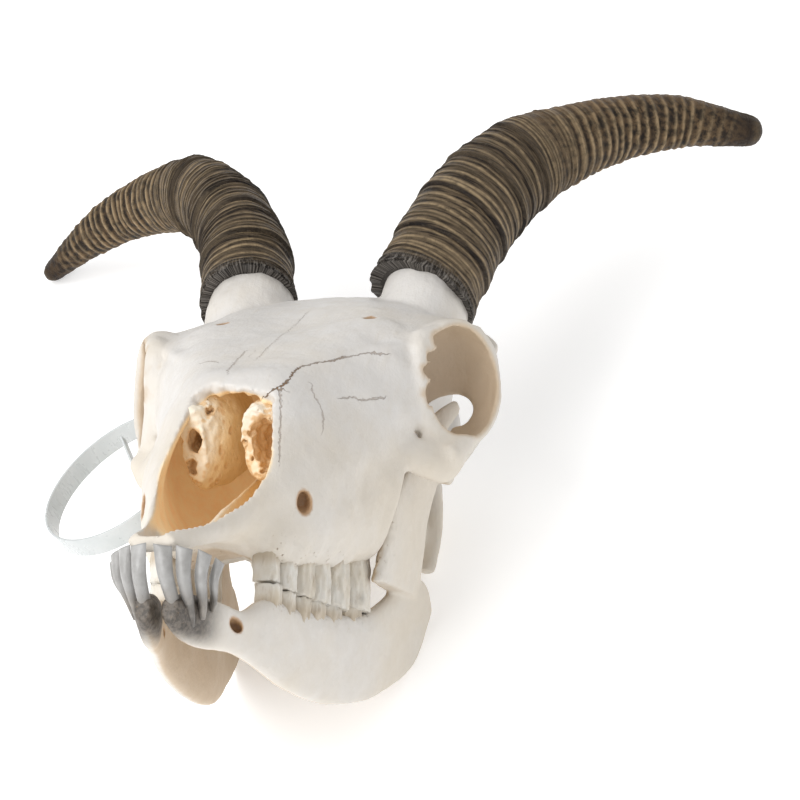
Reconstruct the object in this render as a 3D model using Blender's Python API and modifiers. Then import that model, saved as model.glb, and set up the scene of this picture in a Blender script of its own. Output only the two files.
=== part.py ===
"""Ram skull: a horned sheep's cranium, the two halves of its jaw, its horn sheaths, the scrolls of
bone left in its open nose and the loop of a plastic tag, each one solid.

The bones are shaped in the skull's own frame, in millimetres: X to the animal's left, Y from the tip
of the snout back to the occiput, Z up from the palate. The last step tips the skull nose up, as it
lies on its jaw, the back of its skull and the tip of one horn, and turns millimetres into metres.
"""

import math

import bmesh
import bpy
import numpy as np
from mathutils import Matrix, Vector

NAME = "ram_skull"

# How the skull lies: nose tipped up, leaning a little to its right, standing on Z = 0.
NOSE_UP = math.radians(52.5)
LEAN = math.radians(3.5)
SEAT_MM = Vector((22.58, -173.62, 157.56))

# Grain of the fused bones, the gap between neighbours, and the room beside the jaw's upper prong.
CRANIUM_GRAIN = 1.5
CRANIUM_SKIN = 1.0
JAW_GRAIN = 1.0
GAP = 0.4
ROOM = 4.4
CRANIUM_FACES = 4200
JAW_FACES = 1200

# The cranium's core, as stations down the skull: place, crown height, then the half widths and
# heights of roof, side and floor, then the height of the keel between the two halves.
CORE = (
    (2, 5, 4, 4, 8, 1, 5, -2.5, -3),
    (12, 7, 7, 6, 10, 3, 7, -1, -1),
    (20, 9, 9, 8, 11.5, 5, 8, 1, 0),
    (42, 19, 14, 17.5, 16.5, 11, 12, 6, 5.5),
    (55, 30, 18, 27, 20.5, 16, 15, 7, 7.5),
    (63, 41, 20, 36, 25, 21, 22, 4.5, 7),
    (72, 56, 19, 50, 29.5, 26, 24.5, 2.5, 6),
    (80, 67.5, 18, 63, 32.5, 32, 26.5, 3.5, 6),
    (95, 76, 22, 72, 36, 41, 29.5, 6, 9),
    (112, 85, 29, 81, 40.5, 49, 32.5, 9, 12),
    (124, 91, 35, 87, 44.5, 54, 34.5, 12, 15),
    (134, 97, 41, 92, 48.5, 58, 29.5, 15.5, 16),
    (139, 99.5, 42, 95, 49.5, 61, 24.5, 23, 25),
    (144, 102, 42, 98, 45, 64, 20, 29, 29.5),
    (150, 105, 40, 100, 35, 66, 19, 33, 32),
    (165, 112, 40, 106, 30, 70, 17, 37, 36),
    (180, 118, 42, 110, 32, 74, 17, 39, 37),
    (195, 122, 43, 112, 35, 78, 19, 39, 38),
    (207, 119, 42, 106, 37, 78, 22, 39, 37),
    (218, 111, 38, 98, 37, 74, 26, 41, 38),
    (227, 99, 31, 88, 33, 68, 25, 48, 46),
    (233, 88, 22, 82, 24, 66, 18, 55, 53),
)

# The frontal shield over the orbits: place, crown height, half width, edge height, thickness.
SHIELD = (
    (100, 79, 20, 76, 12),
    (112, 85.5, 28, 81, 12),
    (124, 92, 37, 87, 12),
    (136, 98, 45.5, 92, 12),
    (148, 104, 53.5, 97, 12),
    (160, 110, 60.5, 101, 13),
    (170, 114, 62.5, 103.5, 15),
    (180, 117, 59, 105, 17),
    (190, 120, 50, 106, 16),
    (204, 120, 41, 104, 14),
)

# Rim of the nose's opening on the left, from the snout up to the broken edge, and the way it faces.
NOSE_RIM = (
    (4.5, 2, 3),
    (9.5, 22, 8.5),
    (13, 38, 15),
    (17, 51, 23),
    (19, 62, 35.5),
    (17, 70, 49),
    (14, 78, 63),
)
NOSE_BREAK = ((9, 77.5, 64), (0, 78.5, 65.5), (-9, 80, 67.5))
NOSE_FACES = Vector((0, -0.62, 0.785))

# The nasal cavity, laid out as the core is. The opening cuts down into it from above.
CAVITY = (
    (9, 40, 5, 22, 6, 10, 4, 6, 5),
    (20, 40, 7, 25, 8.5, 10, 5, 5, 4),
    (42, 50, 11, 30, 13, 14, 9, 9, 8),
    (55, 60, 14, 40, 17, 18, 11, 10, 9),
    (63, 52, 15, 44, 20.5, 24, 14, 10, 9),
    (71, 59, 13, 53, 21.5, 30, 16, 10, 9),
    (80, 63, 13.5, 58, 25.5, 36, 18, 12, 11),
    (95, 71, 17, 66, 29, 43, 20, 14, 14),
    (112, 79, 21, 73, 31, 50, 20, 18, 16),
    (126, 76, 14, 70, 21, 52, 13, 30, 30),
)

# Rim of the orbit on the left: place, then its radius out from the eye and its radius along it.
ORBIT_CENTRE = Vector((57, 157, 79))
ORBIT_RIM = (
    (50, 142, 93, 4, 4),
    (55, 153, 97.5, 4, 5),
    (60, 163, 100, 3.5, 4.5),
    (65.5, 170.5, 97, 3, 3),
    (69, 174.5, 88, 2.2, 2.2),
    (69.2, 175, 76, 2.2, 2.2),
    (66.5, 172.5, 66.5, 2.4, 2.6),
    (61.5, 165, 60.5, 3.5, 3.5),
    (57, 157, 56.5, 5.5, 5),
    (53, 149, 58.5, 5, 5),
    (50, 142, 66, 4, 4.5),
    (49, 138.5, 77, 3.5, 4.5),
    (49, 139, 87, 3.5, 4.5),
)
ORBIT_HOLLOW = ((56.5, 159, 80), (18.2, 20.3, 21))
ORBIT_CUP = ((56, 160, 80), (21, 23, 24))
ORBIT_WINDOW = ((52.3, 180, 73.5), (6.4, 12, 6.8))
# The cup ends at its rim, in a plane that faces this way, so far out from its middle.
ORBIT_FACES = (0.894, -0.447, 0)
ORBIT_OPENS = 6
ORBIT_SHIFT = {1: -1.0, -1: -1.8}

# Struts of the face and the base, as tubes: points with a radius across and a radius up.
CHEEK_BONE = (
    (43, 131, 51, 3, 5),
    (50, 140, 50, 4.5, 7.5),
    (57, 148, 49, 4.5, 7.5),
    (60, 156, 56, 4, 5),
    (61, 164, 61, 4, 4.2),
)
ARCH = (
    (61, 163, 61, 3.5, 4.4),
    (63, 173, 64.5, 2.8, 3.8),
    (60.5, 184, 65.5, 2.6, 3.6),
    (56, 196, 64.5, 2.8, 3.6),
    (46, 206, 60, 5, 4.5),
    (34, 212, 58, 7, 7),
)
ARCH_LIFT = {1: 3.5, -1: 0}
TEMPORAL_WALL = ((35, 186, 96, 7, 11), (48, 184, 95, 5, 12), (59, 180, 93, 3.2, 11), (65, 177, 90, 2.6, 8))
PTERYGOID = ((15, 140, 22, 3, 8), (13, 150, 22, 2.2, 9), (12, 160, 28, 2.2, 8), (13, 170, 35, 4, 5))
PARACONDYLAR_TIP = {1: 17.5, -1: 20.5}
PARACONDYLAR = (
    (29, 220, 54, 7, 6),
    (31.5, 218, 42, 5.5, 4.5),
    (33, 214, 30, 5, 3.5),
    (33.4, 210, 18.5, 3.4, 2.8),
)
NUCHAL_CREST = (
    (-39, 219, 66, 4, 4),
    (-36, 226, 82, 4, 4),
    (-20, 232, 91, 4, 4),
    (0, 234, 93, 5, 4),
    (20, 232, 91, 4, 4),
    (36, 226, 82, 4, 4),
    (39, 219, 66, 4, 4),
)
BULLA = ((26, 206, 34), (7.5, 11, 9))
CONDYLE = ((15, 224.5, 53.5), (9, 7.5, 10))
PEDICLE = (
    (31, 193, 104, 17, 19),
    (33, 198, 113, 17, 19),
    (33.5, 202, 121, 16.5, 18.5),
    (36, 206, 129, 16, 18),
)
INFRAORBITAL = ((36, 64, 21, 3, 4), (30, 70, 23, 2.6, 3.6), (26, 76, 25, 1.5, 2))

# Cheek teeth, front to back: length along the row, and width.
CHEEK_TEETH = ((8, 8), (10, 10), (10.5, 11), (13, 12), (15.5, 12.5), (17, 12))
# Outer line of each row, along the edge of its sockets, and the height of each crown's worn end.
UPPER_ROW = ((21, 60, 3), (27.5, 82, 5), (31.5, 112, 9), (34.5, 136, 14.5))
LOWER_ROW = ((21.4, 59, -11.2), (25.8, 83, -11.2), (28.8, 118, -9), (31.2, 136.5, -6.5))
UPPER_BITE = (-3.8, -5.8, -6.7, -7, -7, -5.6)
LOWER_BITE = (-6.2, -7.8, -8.1, -7.8, -7.7, -6.4)

# One half of the jaw, as stations down the bone: place, middle line, top, bottom, thickness.
JAW_BODY = (
    (6, 4.2, -17, -25, 7),
    (14, 5.6, -14.5, -29, 9.5),
    (24, 8.5, -14.5, -31, 10),
    (34, 12, -15.5, -31, 8),
    (45, 15, -16.5, -31.5, 8),
    (57, 18, -11.5, -34.5, 9.5),
    (75, 20.5, -11, -38.5, 11),
    (95, 22.8, -10.5, -40.5, 11.5),
    (118, 25.8, -9, -40.5, 11.5),
    (134, 29, -7, -38.5, 10.5),
    (150, 32.3, 0, -35, 8),
    (163, 35, 8, -30, 6.5),
    (176, 37.2, 12, -24, 6),
    (186, 38.5, 8, -15, 6),
    (189.5, 39, 2, -7, 4.5),
)
RAMUS = (
    (36.5, 138.5, 4, 180, 7),
    (38, 137.5, 18, 178, 7),
    (39.5, 137.5, 32, 178, 7),
    (40.5, 142, 43, 184, 6.5),
    (41.5, 147, 49, 187, 6),
)
# How far each half has swung inwards about the chin, and slid from its place.
JAW_PLAY = {1: (0.0, (0.9, 1.5, 0)), -1: (math.radians(-0.6), (0.8, -1.0, 0))}
JAW_CONDYLE = ((36, 186, 50, 4, 4), (42, 187, 52, 5, 4), (48, 187, 51, 4, 4))
CORONOID = ((41, 160, 46, 3, 10), (43, 168, 58, 2.5, 8), (45.5, 177, 69, 2.2, 5.5), (49, 187, 77, 1.8, 3))

# Incisors of one half: root, then tip, then width. They fan out from the middle.
INCISORS = (
    ((4.6, 11, -21), (3.6, -1.5, 0.0), 6.2),
    ((8.4, 13, -19.5), (9.8, 2.5, -1.5), 6.0),
    ((11.6, 16.5, -17.5), (15.0, 8.0, -2.5), 5.4),
    ((13.6, 21.5, -15.5), (18.0, 14.0, -4.5), 4.6),
)
INCISOR_BOW = 2.6

# Horn sheaths: centre line from base to tip, with the half widths across and along the skull.
HORN_LEFT = (
    (32, 202, 122, 20.5, 23),
    (43, 219, 155, 20.5, 21.5),
    (59, 241, 182, 19, 19),
    (84, 264, 200, 14.5, 14.5),
    (111, 287, 210, 12, 11.5),
    (139, 302, 209, 8, 7),
)
HORN_RIGHT = (
    (-37, 202, 122, 18.5, 23),
    (-47, 220, 152, 17, 21.5),
    (-73, 247, 178, 15, 17.5),
    (-109, 275, 183, 10.5, 12.5),
    (-140, 297, 177.5, 8.5, 9),
    (-164, 312, 166.5, 5, 5),
)

# Scrolls of bone in the nose, each from the front back: its middle, then its radius across and up.
SCROLL_PATHS = {
    1: ((8.5, 80, 46, 6, 11.5), (9.2, 88, 48, 7.2, 13), (10.5, 100, 53, 8, 14), (11, 115, 58, 7.2, 12.5)),
    -1: ((14.3, 81, 45, 4, 13), (13.2, 88, 47.5, 6, 15), (11.5, 100, 53, 7.6, 15), (11, 115, 59, 7, 13.5)),
}
SCROLL_TURNS = 1.3
SCROLL_WALL = 1.6

# Plate of bone that stands on the floor of the nose, as seen from the side, and its half thickness.
VOMER = ((58, 6), (64, 16), (76, 24), (104, 39), (119, 44), (119, 10), (90, 8))
VOMER_HALF = 1.2

# Loop of the tag: its middle, its axis, the way to its end at the cheek, its half sizes and its band.
TAG_MIDDLE = Vector((-78.4, 180.9, 50.6))
TAG_AXIS = Vector((0.320, 0.752, -0.576)).normalized()
TAG_LONG = Vector((0.521, 0.368, 0.770)).normalized()
TAG_HALF = (33.0, 31.6)
TAG_BAND = (8.6, 1.1)
TAG_TAIL = ((-81.5, 186.5, 69), (-72.3, 182, 52.6), (-62, 175.5, 38))

# Finishes: colour, roughness.
BONE = ((0.86, 0.82, 0.74), 0.55)
INNER_BONE = ((0.80, 0.66, 0.46), 0.6)
HORN = ((0.16, 0.11, 0.07), 0.5)
PLASTIC = ((0.82, 0.86, 0.86), 0.35)


def clear_scene():
    for obj in list(bpy.data.objects):
        bpy.data.objects.remove(obj, do_unlink=True)
    for mesh in list(bpy.data.meshes):
        bpy.data.meshes.remove(mesh)


def new_collection(name):
    collection = bpy.data.collections.new(name)
    bpy.context.scene.collection.children.link(collection)
    return collection


def finish(name, look):
    colour, roughness = look
    material = bpy.data.materials.new(name)
    material.use_nodes = True
    shader = material.node_tree.nodes["Principled BSDF"]
    shader.inputs["Base Color"].default_value = (*colour, 1)
    shader.inputs["Roughness"].default_value = roughness
    shader.inputs["Metallic"].default_value = 0.0
    return material


# ---- curves and rings -------------------------------------------------------------------------


def flow(rows, count, closed=False):
    """count points on a smooth curve through the rows, which may be of any width."""
    rows = np.array(rows, float)
    if closed:
        rows = np.vstack([rows[-1:], rows, rows[:2]])
    else:
        rows = np.vstack([2 * rows[:1] - rows[1:2], rows, 2 * rows[-1:] - rows[-2:-1]])
    spans = len(rows) - 3
    found = []
    for place in np.linspace(0, spans, count, endpoint=not closed):
        i = min(int(place), spans - 1)
        t = place - i
        a, b, c, d = rows[i : i + 4]
        bend, twist = 2 * a - 5 * b + 4 * c - d, 3 * b - a - 3 * c + d
        found.append(0.5 * (2 * b + (c - a) * t + bend * t**2 + twist * t**3))
    return np.array(found)


def between(rows, step):
    """The rows filled in, so that their first value climbs by about step from one to the next."""
    rows = np.array(rows, float)
    slope = np.gradient(rows, rows[:, 0], axis=0)
    found = []
    for i in range(len(rows) - 1):
        width = rows[i + 1, 0] - rows[i, 0]
        for t in np.arange(0, 1, 1 / max(1, round(width / step))):
            h = np.array((2 * t**3 - 3 * t**2 + 1, t**3 - 2 * t**2 + t, 3 * t**2 - 2 * t**3, t**3 - t**2))
            ahead = h[2] * rows[i + 1] + h[3] * width * slope[i + 1]
            found.append(h[0] * rows[i] + h[1] * width * slope[i] + ahead)
    return np.vstack([found, rows[-1:]])


def core_ring(row):
    """A closed section across the skull, from one station of the core or of the cavity."""
    y, crown, roof_w, roof, side_w, side, floor_w, floor, keel = row
    half = ((roof_w, roof), (side_w, side), (floor_w, floor))
    corners = [(0, crown), *half, (0, keel), *[(-x, z) for x, z in reversed(half)]]
    return [(x, y, z) for x, z in flow(corners, 48, closed=True)]


def shield_ring(row):
    y, crown, width, edge, depth = row
    low = edge - depth
    middle = (0.55 * width, 0.5 * (crown + edge) + 1.5)
    half = (middle, (width, edge), (0.94 * width, edge - 4), (0.5 * width, low - 4))
    corners = [(0, crown), *half, (0, low - 6), *[(-x, z) for x, z in reversed(half)]]
    return [(x, y, z) for x, z in flow(corners, 48, closed=True)]


def oval_ring(centre, across, up, wide, high, count=16):
    turns = np.linspace(0, math.tau, count, endpoint=False)
    return [centre + across * (wide * math.cos(a)) + up * (high * math.sin(a)) for a in turns]


# ---- meshes -----------------------------------------------------------------------------------


def mesh_object(name, points, faces):
    mesh = bpy.data.meshes.new(name)
    mesh.from_pydata([tuple(p) for p in points], [], faces)
    obj = bpy.data.objects.new(name, mesh)
    bpy.context.scene.collection.objects.link(obj)
    shape = bmesh.new()
    shape.from_mesh(mesh)
    bmesh.ops.recalc_face_normals(shape, faces=shape.faces)
    if shape.calc_volume(signed=True) < 0:
        bmesh.ops.reverse_faces(shape, faces=shape.faces)
    shape.to_mesh(mesh)
    shape.free()
    return obj


def skin(name, rings, closed=False):
    """One surface over the rings, which have equal numbers of points, capped unless it closes on itself."""
    size = len(rings[0])
    points = [p for ring in rings for p in ring]
    faces = []
    for i in range(len(rings) if closed else len(rings) - 1):
        a, b = i * size, (i + 1) % len(rings) * size
        for j in range(size):
            k = (j + 1) % size
            faces.append((a + j, a + k, b + k, b + j))
    if not closed:
        faces += [tuple(reversed(range(size))), tuple(range(len(points) - size, len(points)))]
    return mesh_object(name, points, faces)


def tube(name, rows, side=Vector((1, 0, 0)), steps=4, closed=False, count=16):
    """A rod through the rows, each a place with its radius towards side and its radius square to that."""
    line = flow(rows, (len(rows) if closed else len(rows) - 1) * steps + (not closed), closed)
    centres = [Vector(row[:3]) for row in line]
    rings = []
    for i, row in enumerate(line):
        ahead = centres[(i + 1) % len(line)] if closed or i + 1 < len(line) else centres[i]
        behind = centres[i - 1] if closed or i else centres[i]
        along = (ahead - behind).normalized()
        away = side(centres[i]) if callable(side) else side
        across = (away - along * away.dot(along)).normalized()
        rings.append(oval_ring(centres[i], across, along.cross(across), row[3], row[4], count))
    return skin(name, rings, closed)


def blob(name, centre, radii):
    shape = bmesh.new()
    bmesh.ops.create_uvsphere(shape, u_segments=24, v_segments=16, radius=1)
    mesh = bpy.data.meshes.new(name)
    shape.to_mesh(mesh)
    shape.free()
    mesh.transform(Matrix.LocRotScale(Vector(centre), None, Vector(radii)))
    obj = bpy.data.objects.new(name, mesh)
    bpy.context.scene.collection.objects.link(obj)
    return obj


def flattened(obj, centre, way, reach):
    """Presses flat what stands further out than reach from the centre, on the side that faces way."""
    centre, way = Vector(centre), Vector(way).normalized()
    for vert in obj.data.vertices:
        over = (vert.co - centre).dot(way) - reach
        if over > 0:
            vert.co -= way * over
    return obj


def mirrored(rows, side):
    return [(side * row[0], *row[1:]) for row in rows]


def apply_modifiers(obj):
    graph = bpy.context.evaluated_depsgraph_get()
    mesh = bpy.data.meshes.new_from_object(obj.evaluated_get(graph))
    obj.modifiers.clear()
    obj.data = mesh
    return obj


def knit(obj, grain, smoothing):
    """Gives the piece one even skin again, smoothed as bone is."""
    remesh = obj.modifiers.new("knit", "REMESH")
    remesh.mode = "VOXEL"
    remesh.voxel_size = grain
    if smoothing:
        smooth = obj.modifiers.new("smooth", "SMOOTH")
        smooth.factor = 0.5
        smooth.iterations = smoothing
    return apply_modifiers(obj)


def fuse(name, pieces, grain, smoothing):
    """One skin round all the pieces."""
    shape = bmesh.new()
    for piece in pieces:
        shape.from_mesh(piece.data)
        bpy.data.objects.remove(piece, do_unlink=True)
    mesh = bpy.data.meshes.new(name)
    shape.to_mesh(mesh)
    shape.free()
    obj = bpy.data.objects.new(name, mesh)
    bpy.context.scene.collection.objects.link(obj)
    return knit(obj, grain, smoothing)


def carve(obj, cutters, operation="DIFFERENCE"):
    for i, cutter in enumerate(cutters):
        cut = obj.modifiers.new(f"cut_{i}", "BOOLEAN")
        cut.operation = operation
        cut.object = cutter
        apply_modifiers(obj)
    return obj


def area(island):
    return sum(face.calc_area() for face in {face for vert in island for face in vert.link_faces})


def keep_largest(obj):
    """Drops the crumbs that a cut can leave beside the bone."""
    shape = bmesh.new()
    shape.from_mesh(obj.data)
    bmesh.ops.remove_doubles(shape, verts=shape.verts, dist=0.0001)
    unseen = set(shape.verts)
    islands = []
    while unseen:
        heap = [unseen.pop()]
        island = set(heap)
        while heap:
            for edge in heap.pop().link_edges:
                for vert in edge.verts:
                    if vert in unseen:
                        unseen.remove(vert)
                        island.add(vert)
                        heap.append(vert)
        islands.append(island)
    islands.sort(key=area)
    for island in islands[:-1]:
        bmesh.ops.delete(shape, geom=list(island), context="VERTS")
    shape.to_mesh(obj.data)
    shape.free()
    return obj


def thin(obj, faces):
    bpy.context.view_layer.update()
    obj.data.calc_loop_triangles()
    decimate = obj.modifiers.new("thin", "DECIMATE")
    decimate.ratio = faces / len(obj.data.loop_triangles)
    return apply_modifiers(obj)


def grown(obj, by):
    """A copy whose surface stands out by that much, or in where it is negative, to cut a piece's room."""
    copy = bpy.data.objects.new(obj.name + "_room", obj.data.copy())
    bpy.context.scene.collection.objects.link(copy)
    shape = bmesh.new()
    shape.from_mesh(copy.data)
    shape.normal_update()
    for vert in shape.verts:
        vert.co += vert.normal * by
    shape.to_mesh(copy.data)
    shape.free()
    return copy


# ---- bones ------------------------------------------------------------------------------------


def tooth(name, centre, length, width, top, bottom):
    """A cheek tooth: two lobes side by side, narrower at the neck."""
    rings = []
    for share, swell in ((0, 0.86), (0.25, 0.97), (0.75, 1.0), (1, 0.95)):
        z = top + (bottom - top) * share
        ring = []
        for a in np.linspace(0, math.tau, 16, endpoint=False):
            x = 0.5 * width * swell * math.copysign(abs(math.cos(a)) ** 0.6, math.cos(a))
            y = 0.5 * length * math.copysign(abs(math.sin(a)) ** 0.7, math.sin(a))
            x *= 1 - 0.1 * math.cos(2 * math.pi * y / length) ** 2
            ring.append((centre[0] + x, centre[1] + y, z))
        rings.append(ring)
    return skin(name, rings)


def ridge(name, rows, side=1):
    """A strut that lies across the skull: the first radius is along it, the second is up."""
    return tube(name, mirrored(rows, side), Vector((0, 1, 0)))


def cheek_teeth(side, row, bites, up):
    """The six cheek teeth of one row, their outer faces just inside the line of their sockets."""
    line = np.array(row, float)
    scale = (line[-1, 1] - line[0, 1]) / sum(size[0] for size in CHEEK_TEETH)
    place = line[0, 1]
    teeth = []
    for i, (length, width) in enumerate(CHEEK_TEETH):
        length *= scale
        y = place + 0.5 * length
        place += length
        outer, root = np.interp(y, line[:, 1], line[:, 0]), np.interp(y, line[:, 1], line[:, 2])
        centre = (side * (outer - 0.5 * width), y)
        teeth.append(tooth(f"tooth_{i}", centre, length * 1.02, width, root + 5 * up, bites[i]))
    return teeth


def arch_rows(side):
    """The cheek arch of one side, whose middle stands higher on the left."""
    rows = []
    for x, y, z, wide, high in mirrored(ARCH, side):
        lift = ARCH_LIFT[side] if 165 < y < 210 else 0
        rows.append((x, y, z + lift, wide, high))
    return rows


def cranium_pieces():
    pieces = [skin("core", [core_ring(row) for row in between(CORE, 4)])]
    pieces.append(skin("shield", [shield_ring(row) for row in between(SHIELD, 4)]))
    pieces.append(tube("nuchal_crest", NUCHAL_CREST, Vector((0, 1, 0))))
    for side in (1, -1):
        eye = Vector((side * ORBIT_CENTRE.x, ORBIT_CENTRE.y, ORBIT_CENTRE.z))
        rim = [(x + ORBIT_SHIFT[side], *rest) for x, *rest in mirrored(ORBIT_RIM, side)]
        pieces.append(tube("orbit_rim", rim, lambda p, eye=eye: p - eye, closed=True))
        middle, faces = (side * ORBIT_CUP[0][0], *ORBIT_CUP[0][1:]), (side * ORBIT_FACES[0], *ORBIT_FACES[1:])
        pieces.append(flattened(blob("orbit_cup", middle, ORBIT_CUP[1]), middle, faces, ORBIT_OPENS))
        pieces.append(tube("cheek_bone", mirrored(CHEEK_BONE, side)))
        pieces.append(tube("arch", arch_rows(side)))
        pieces.append(ridge("temporal_wall", TEMPORAL_WALL, side))
        pieces.append(tube("pterygoid", mirrored(PTERYGOID, side)))
        trimmed = [*PARACONDYLAR[:-1], (*PARACONDYLAR[-1][:2], PARACONDYLAR_TIP[side], *PARACONDYLAR[-1][3:])]
        pieces.append(tube("paracondylar", mirrored(trimmed, side)))
        pieces.append(tube("pedicle", mirrored(PEDICLE, side)))
        pieces.append(blob("bulla", (side * BULLA[0][0], *BULLA[0][1:]), BULLA[1]))
        pieces.append(blob("condyle", (side * CONDYLE[0][0], *CONDYLE[0][1:]), CONDYLE[1]))
        pieces += cheek_teeth(side, UPPER_ROW, UPPER_BITE, 1)
    return pieces


def nose_opening():
    """The opening's outline, swept down into the nose and up out of it."""
    left = [Vector(p) for p in flow(NOSE_RIM, 13)]
    right = [Vector((-p.x, p.y, p.z)) for p in reversed(left)]
    outline = [*left, *[Vector(p) for p in NOSE_BREAK], *right]
    return skin("nose_opening", [[p + NOSE_FACES * reach for p in outline] for reach in (-7, 34)])


def cranium_cutters():
    cutters = [skin("nasal_cavity", [core_ring(row) for row in between(CAVITY, 4)]), nose_opening()]
    cutters.append(blob("foramen_magnum", (0, 234, 66), (8.5, 14, 9)))
    cutters.append(blob("choana", (0, 158, 24), (9, 22, 12)))
    cutters.append(blob("palate_vault", (0, 98, 1), (15, 44, 8)))
    for side in (1, -1):
        for centre, radii in (ORBIT_HOLLOW, ORBIT_WINDOW):
            cutters.append(blob("orbit_hollow", (side * centre[0], *centre[1:]), radii))
        cutters.append(blob("palatine_fissure", (side * 5.2, 28, 3), (2.4, 12, 9)))
        room = [(x, y, z, wide + ROOM, high + 2.6) for x, y, z, wide, high in CORONOID]
        cutters.append(tube("coronoid_room", mirrored(room, side)))
        cutters.append(tube("infraorbital_canal", mirrored(INFRAORBITAL, side)))
    return cutters


def make_cranium(horns):
    bone = fuse("cranium", cranium_pieces(), CRANIUM_GRAIN, 4)
    cutters = cranium_cutters()
    carve(bone, cutters)
    thin(keep_largest(knit(bone, CRANIUM_SKIN, 1)), CRANIUM_FACES)
    rooms = [grown(horn, GAP) for horn in horns]
    carve(bone, rooms)
    for obj in cutters + rooms:
        bpy.data.objects.remove(obj, do_unlink=True)
    return keep_largest(bone)


def jaw_ring(row):
    y, x, top, bottom, thick = row
    middle, half, wide = 0.5 * (top + bottom), 0.5 * (top - bottom), 0.5 * thick
    ring = []
    for a in np.linspace(0, math.tau, 24, endpoint=False):
        dx = wide * math.copysign(abs(math.cos(a)) ** 0.8, math.cos(a))
        dz = half * math.copysign(abs(math.sin(a)) ** 0.8, math.sin(a))
        keel = 0.5 - 0.5 * dz / half
        ring.append((x * (1 - 0.09 * keel) + dx * (1 - 0.3 * keel), y, middle + dz))
    return ring


def ramus_ring(row):
    x, front, z, back, thick = row
    middle, half = 0.5 * (front + back), 0.5 * (back - front)
    turns = np.linspace(0, math.tau, 24, endpoint=False)
    return [(x + 0.5 * thick * math.cos(a), middle + half * math.sin(a), z) for a in turns]


def incisor(root, tip, width, side):
    """A long blade, bowed forwards, round at the root and flat and wide at the tip."""
    root, tip = Vector(root), Vector(tip)
    middle = root.lerp(tip, 0.5) + Vector((0, -INCISOR_BOW, -0.6))
    start = root + (root - tip) * 0.25
    rows = (
        (*start, 1.6, 1.8),
        (*root, 0.36 * width, 2.4),
        (*middle, 0.47 * width, 2.2),
        (*tip, 0.5 * width, 1.1),
    )
    return tube("incisor", mirrored(rows, side), Vector((1, side * 0.06 * root.x, 0)), steps=3, count=12)


def make_jaw(name, side):
    """One half of the jaw, which swings and slides a little on the cranium, as a loose bone does."""
    body = skin("body", [jaw_ring((row[0], side * row[1], *row[2:])) for row in between(JAW_BODY, 4)])
    ramus = skin("ramus", [ramus_ring((side * row[0], *row[1:])) for row in RAMUS])
    pieces = [body, ramus, tube("condyle", mirrored(JAW_CONDYLE, side), Vector((0, 1, 0)))]
    pieces.append(tube("coronoid", mirrored(CORONOID, side)))
    pieces += [incisor(*row, side) for row in INCISORS]
    pieces += cheek_teeth(side, LOWER_ROW, LOWER_BITE, -1)
    jaw = fuse(name, pieces, JAW_GRAIN, 3)
    swing, slide = JAW_PLAY[side]
    middle = Matrix.Translation((0, 15, 0))
    turn = middle @ Matrix.Rotation(swing, 4, "Z") @ middle.inverted()
    jaw.data.transform(Matrix.Translation(slide) @ turn)
    return thin(keep_largest(jaw), JAW_FACES)


# ---- horns, scrolls and tag -------------------------------------------------------------------


def make_horn(name, rows):
    line = flow(rows, 22)
    centres = [Vector(row[:3]) for row in line]
    rings = []
    across = Vector((rows[0][0], 0, 0)).normalized()
    for i, row in enumerate(line):
        along = (centres[min(i + 1, len(line) - 1)] - centres[max(i - 1, 0)]).normalized()
        across = (across - along * across.dot(along)).normalized()
        rings.append(oval_ring(centres[i], across, along.cross(across), row[3], row[4], 16))
    tip, along = centres[-1], (centres[-1] - centres[-2]).normalized()
    wide, high = line[-1][3:5]
    for share, reach in ((0.75, 0.5), (0.35, 0.8)):
        ahead = tip + along * reach * wide
        rings.append(oval_ring(ahead, across, along.cross(across), share * wide, share * high, 16))
    return skin(name, rings)


def within_nose(obj, cranium):
    """Trims a piece to the nasal cavity, clear of the bone round it."""
    cavity = skin("cavity", [core_ring(row) for row in between(CAVITY, 6)])
    room = grown(cavity, -2 * GAP)
    carve(obj, [room], "INTERSECT")
    bpy.data.objects.remove(cavity, do_unlink=True)
    bpy.data.objects.remove(room, do_unlink=True)
    for axis in range(3):
        for way in (1, -1):
            cranium.location[axis] = way * GAP
            bpy.context.view_layer.update()
            carve(obj, [cranium])
        cranium.location[axis] = 0
    bpy.context.view_layer.update()
    return keep_largest(obj)


def scroll_ring(row, side):
    """Section of a scroll: a strip that runs in from the side wall and curls round its middle."""
    x, y, z, wide, high = row
    line = [Vector((x + 2.2 * wide, z + 0.2 * high)), Vector((x + 1.5 * wide, z + 0.12 * high))]
    for i in range(12):
        turn = math.tau * SCROLL_TURNS * i / 11
        size = 1 - 0.62 * i / 11
        line.append(Vector((x + size * wide * math.cos(turn), z - size * high * math.sin(turn))))
    left, right = [], []
    for i, point in enumerate(line):
        along = (line[min(i + 1, len(line) - 1)] - line[max(i - 1, 0)]).normalized()
        off = Vector((-along.y, along.x)) * (0.5 * SCROLL_WALL)
        left.append(point + off)
        right.append(point - off)
    return [(side * p.x, y, p.y) for p in left + right[::-1]]


def make_scroll(name, side, cranium):
    return within_nose(skin(name, [scroll_ring(row, side) for row in SCROLL_PATHS[side]]), cranium)


def make_vomer(name, cranium):
    rings = [[(x, y, z) for y, z in VOMER] for x in (-VOMER_HALF, VOMER_HALF)]
    return within_nose(skin(name, rings), cranium)


def strip_ring(centre, wide_way, thick_way, wide, thick):
    corners = ((0.5, 0.5), (-0.5, 0.5), (-0.5, -0.5), (0.5, -0.5))
    return [centre + wide_way * (a * wide) + thick_way * (b * thick) for a, b in corners]


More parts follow.
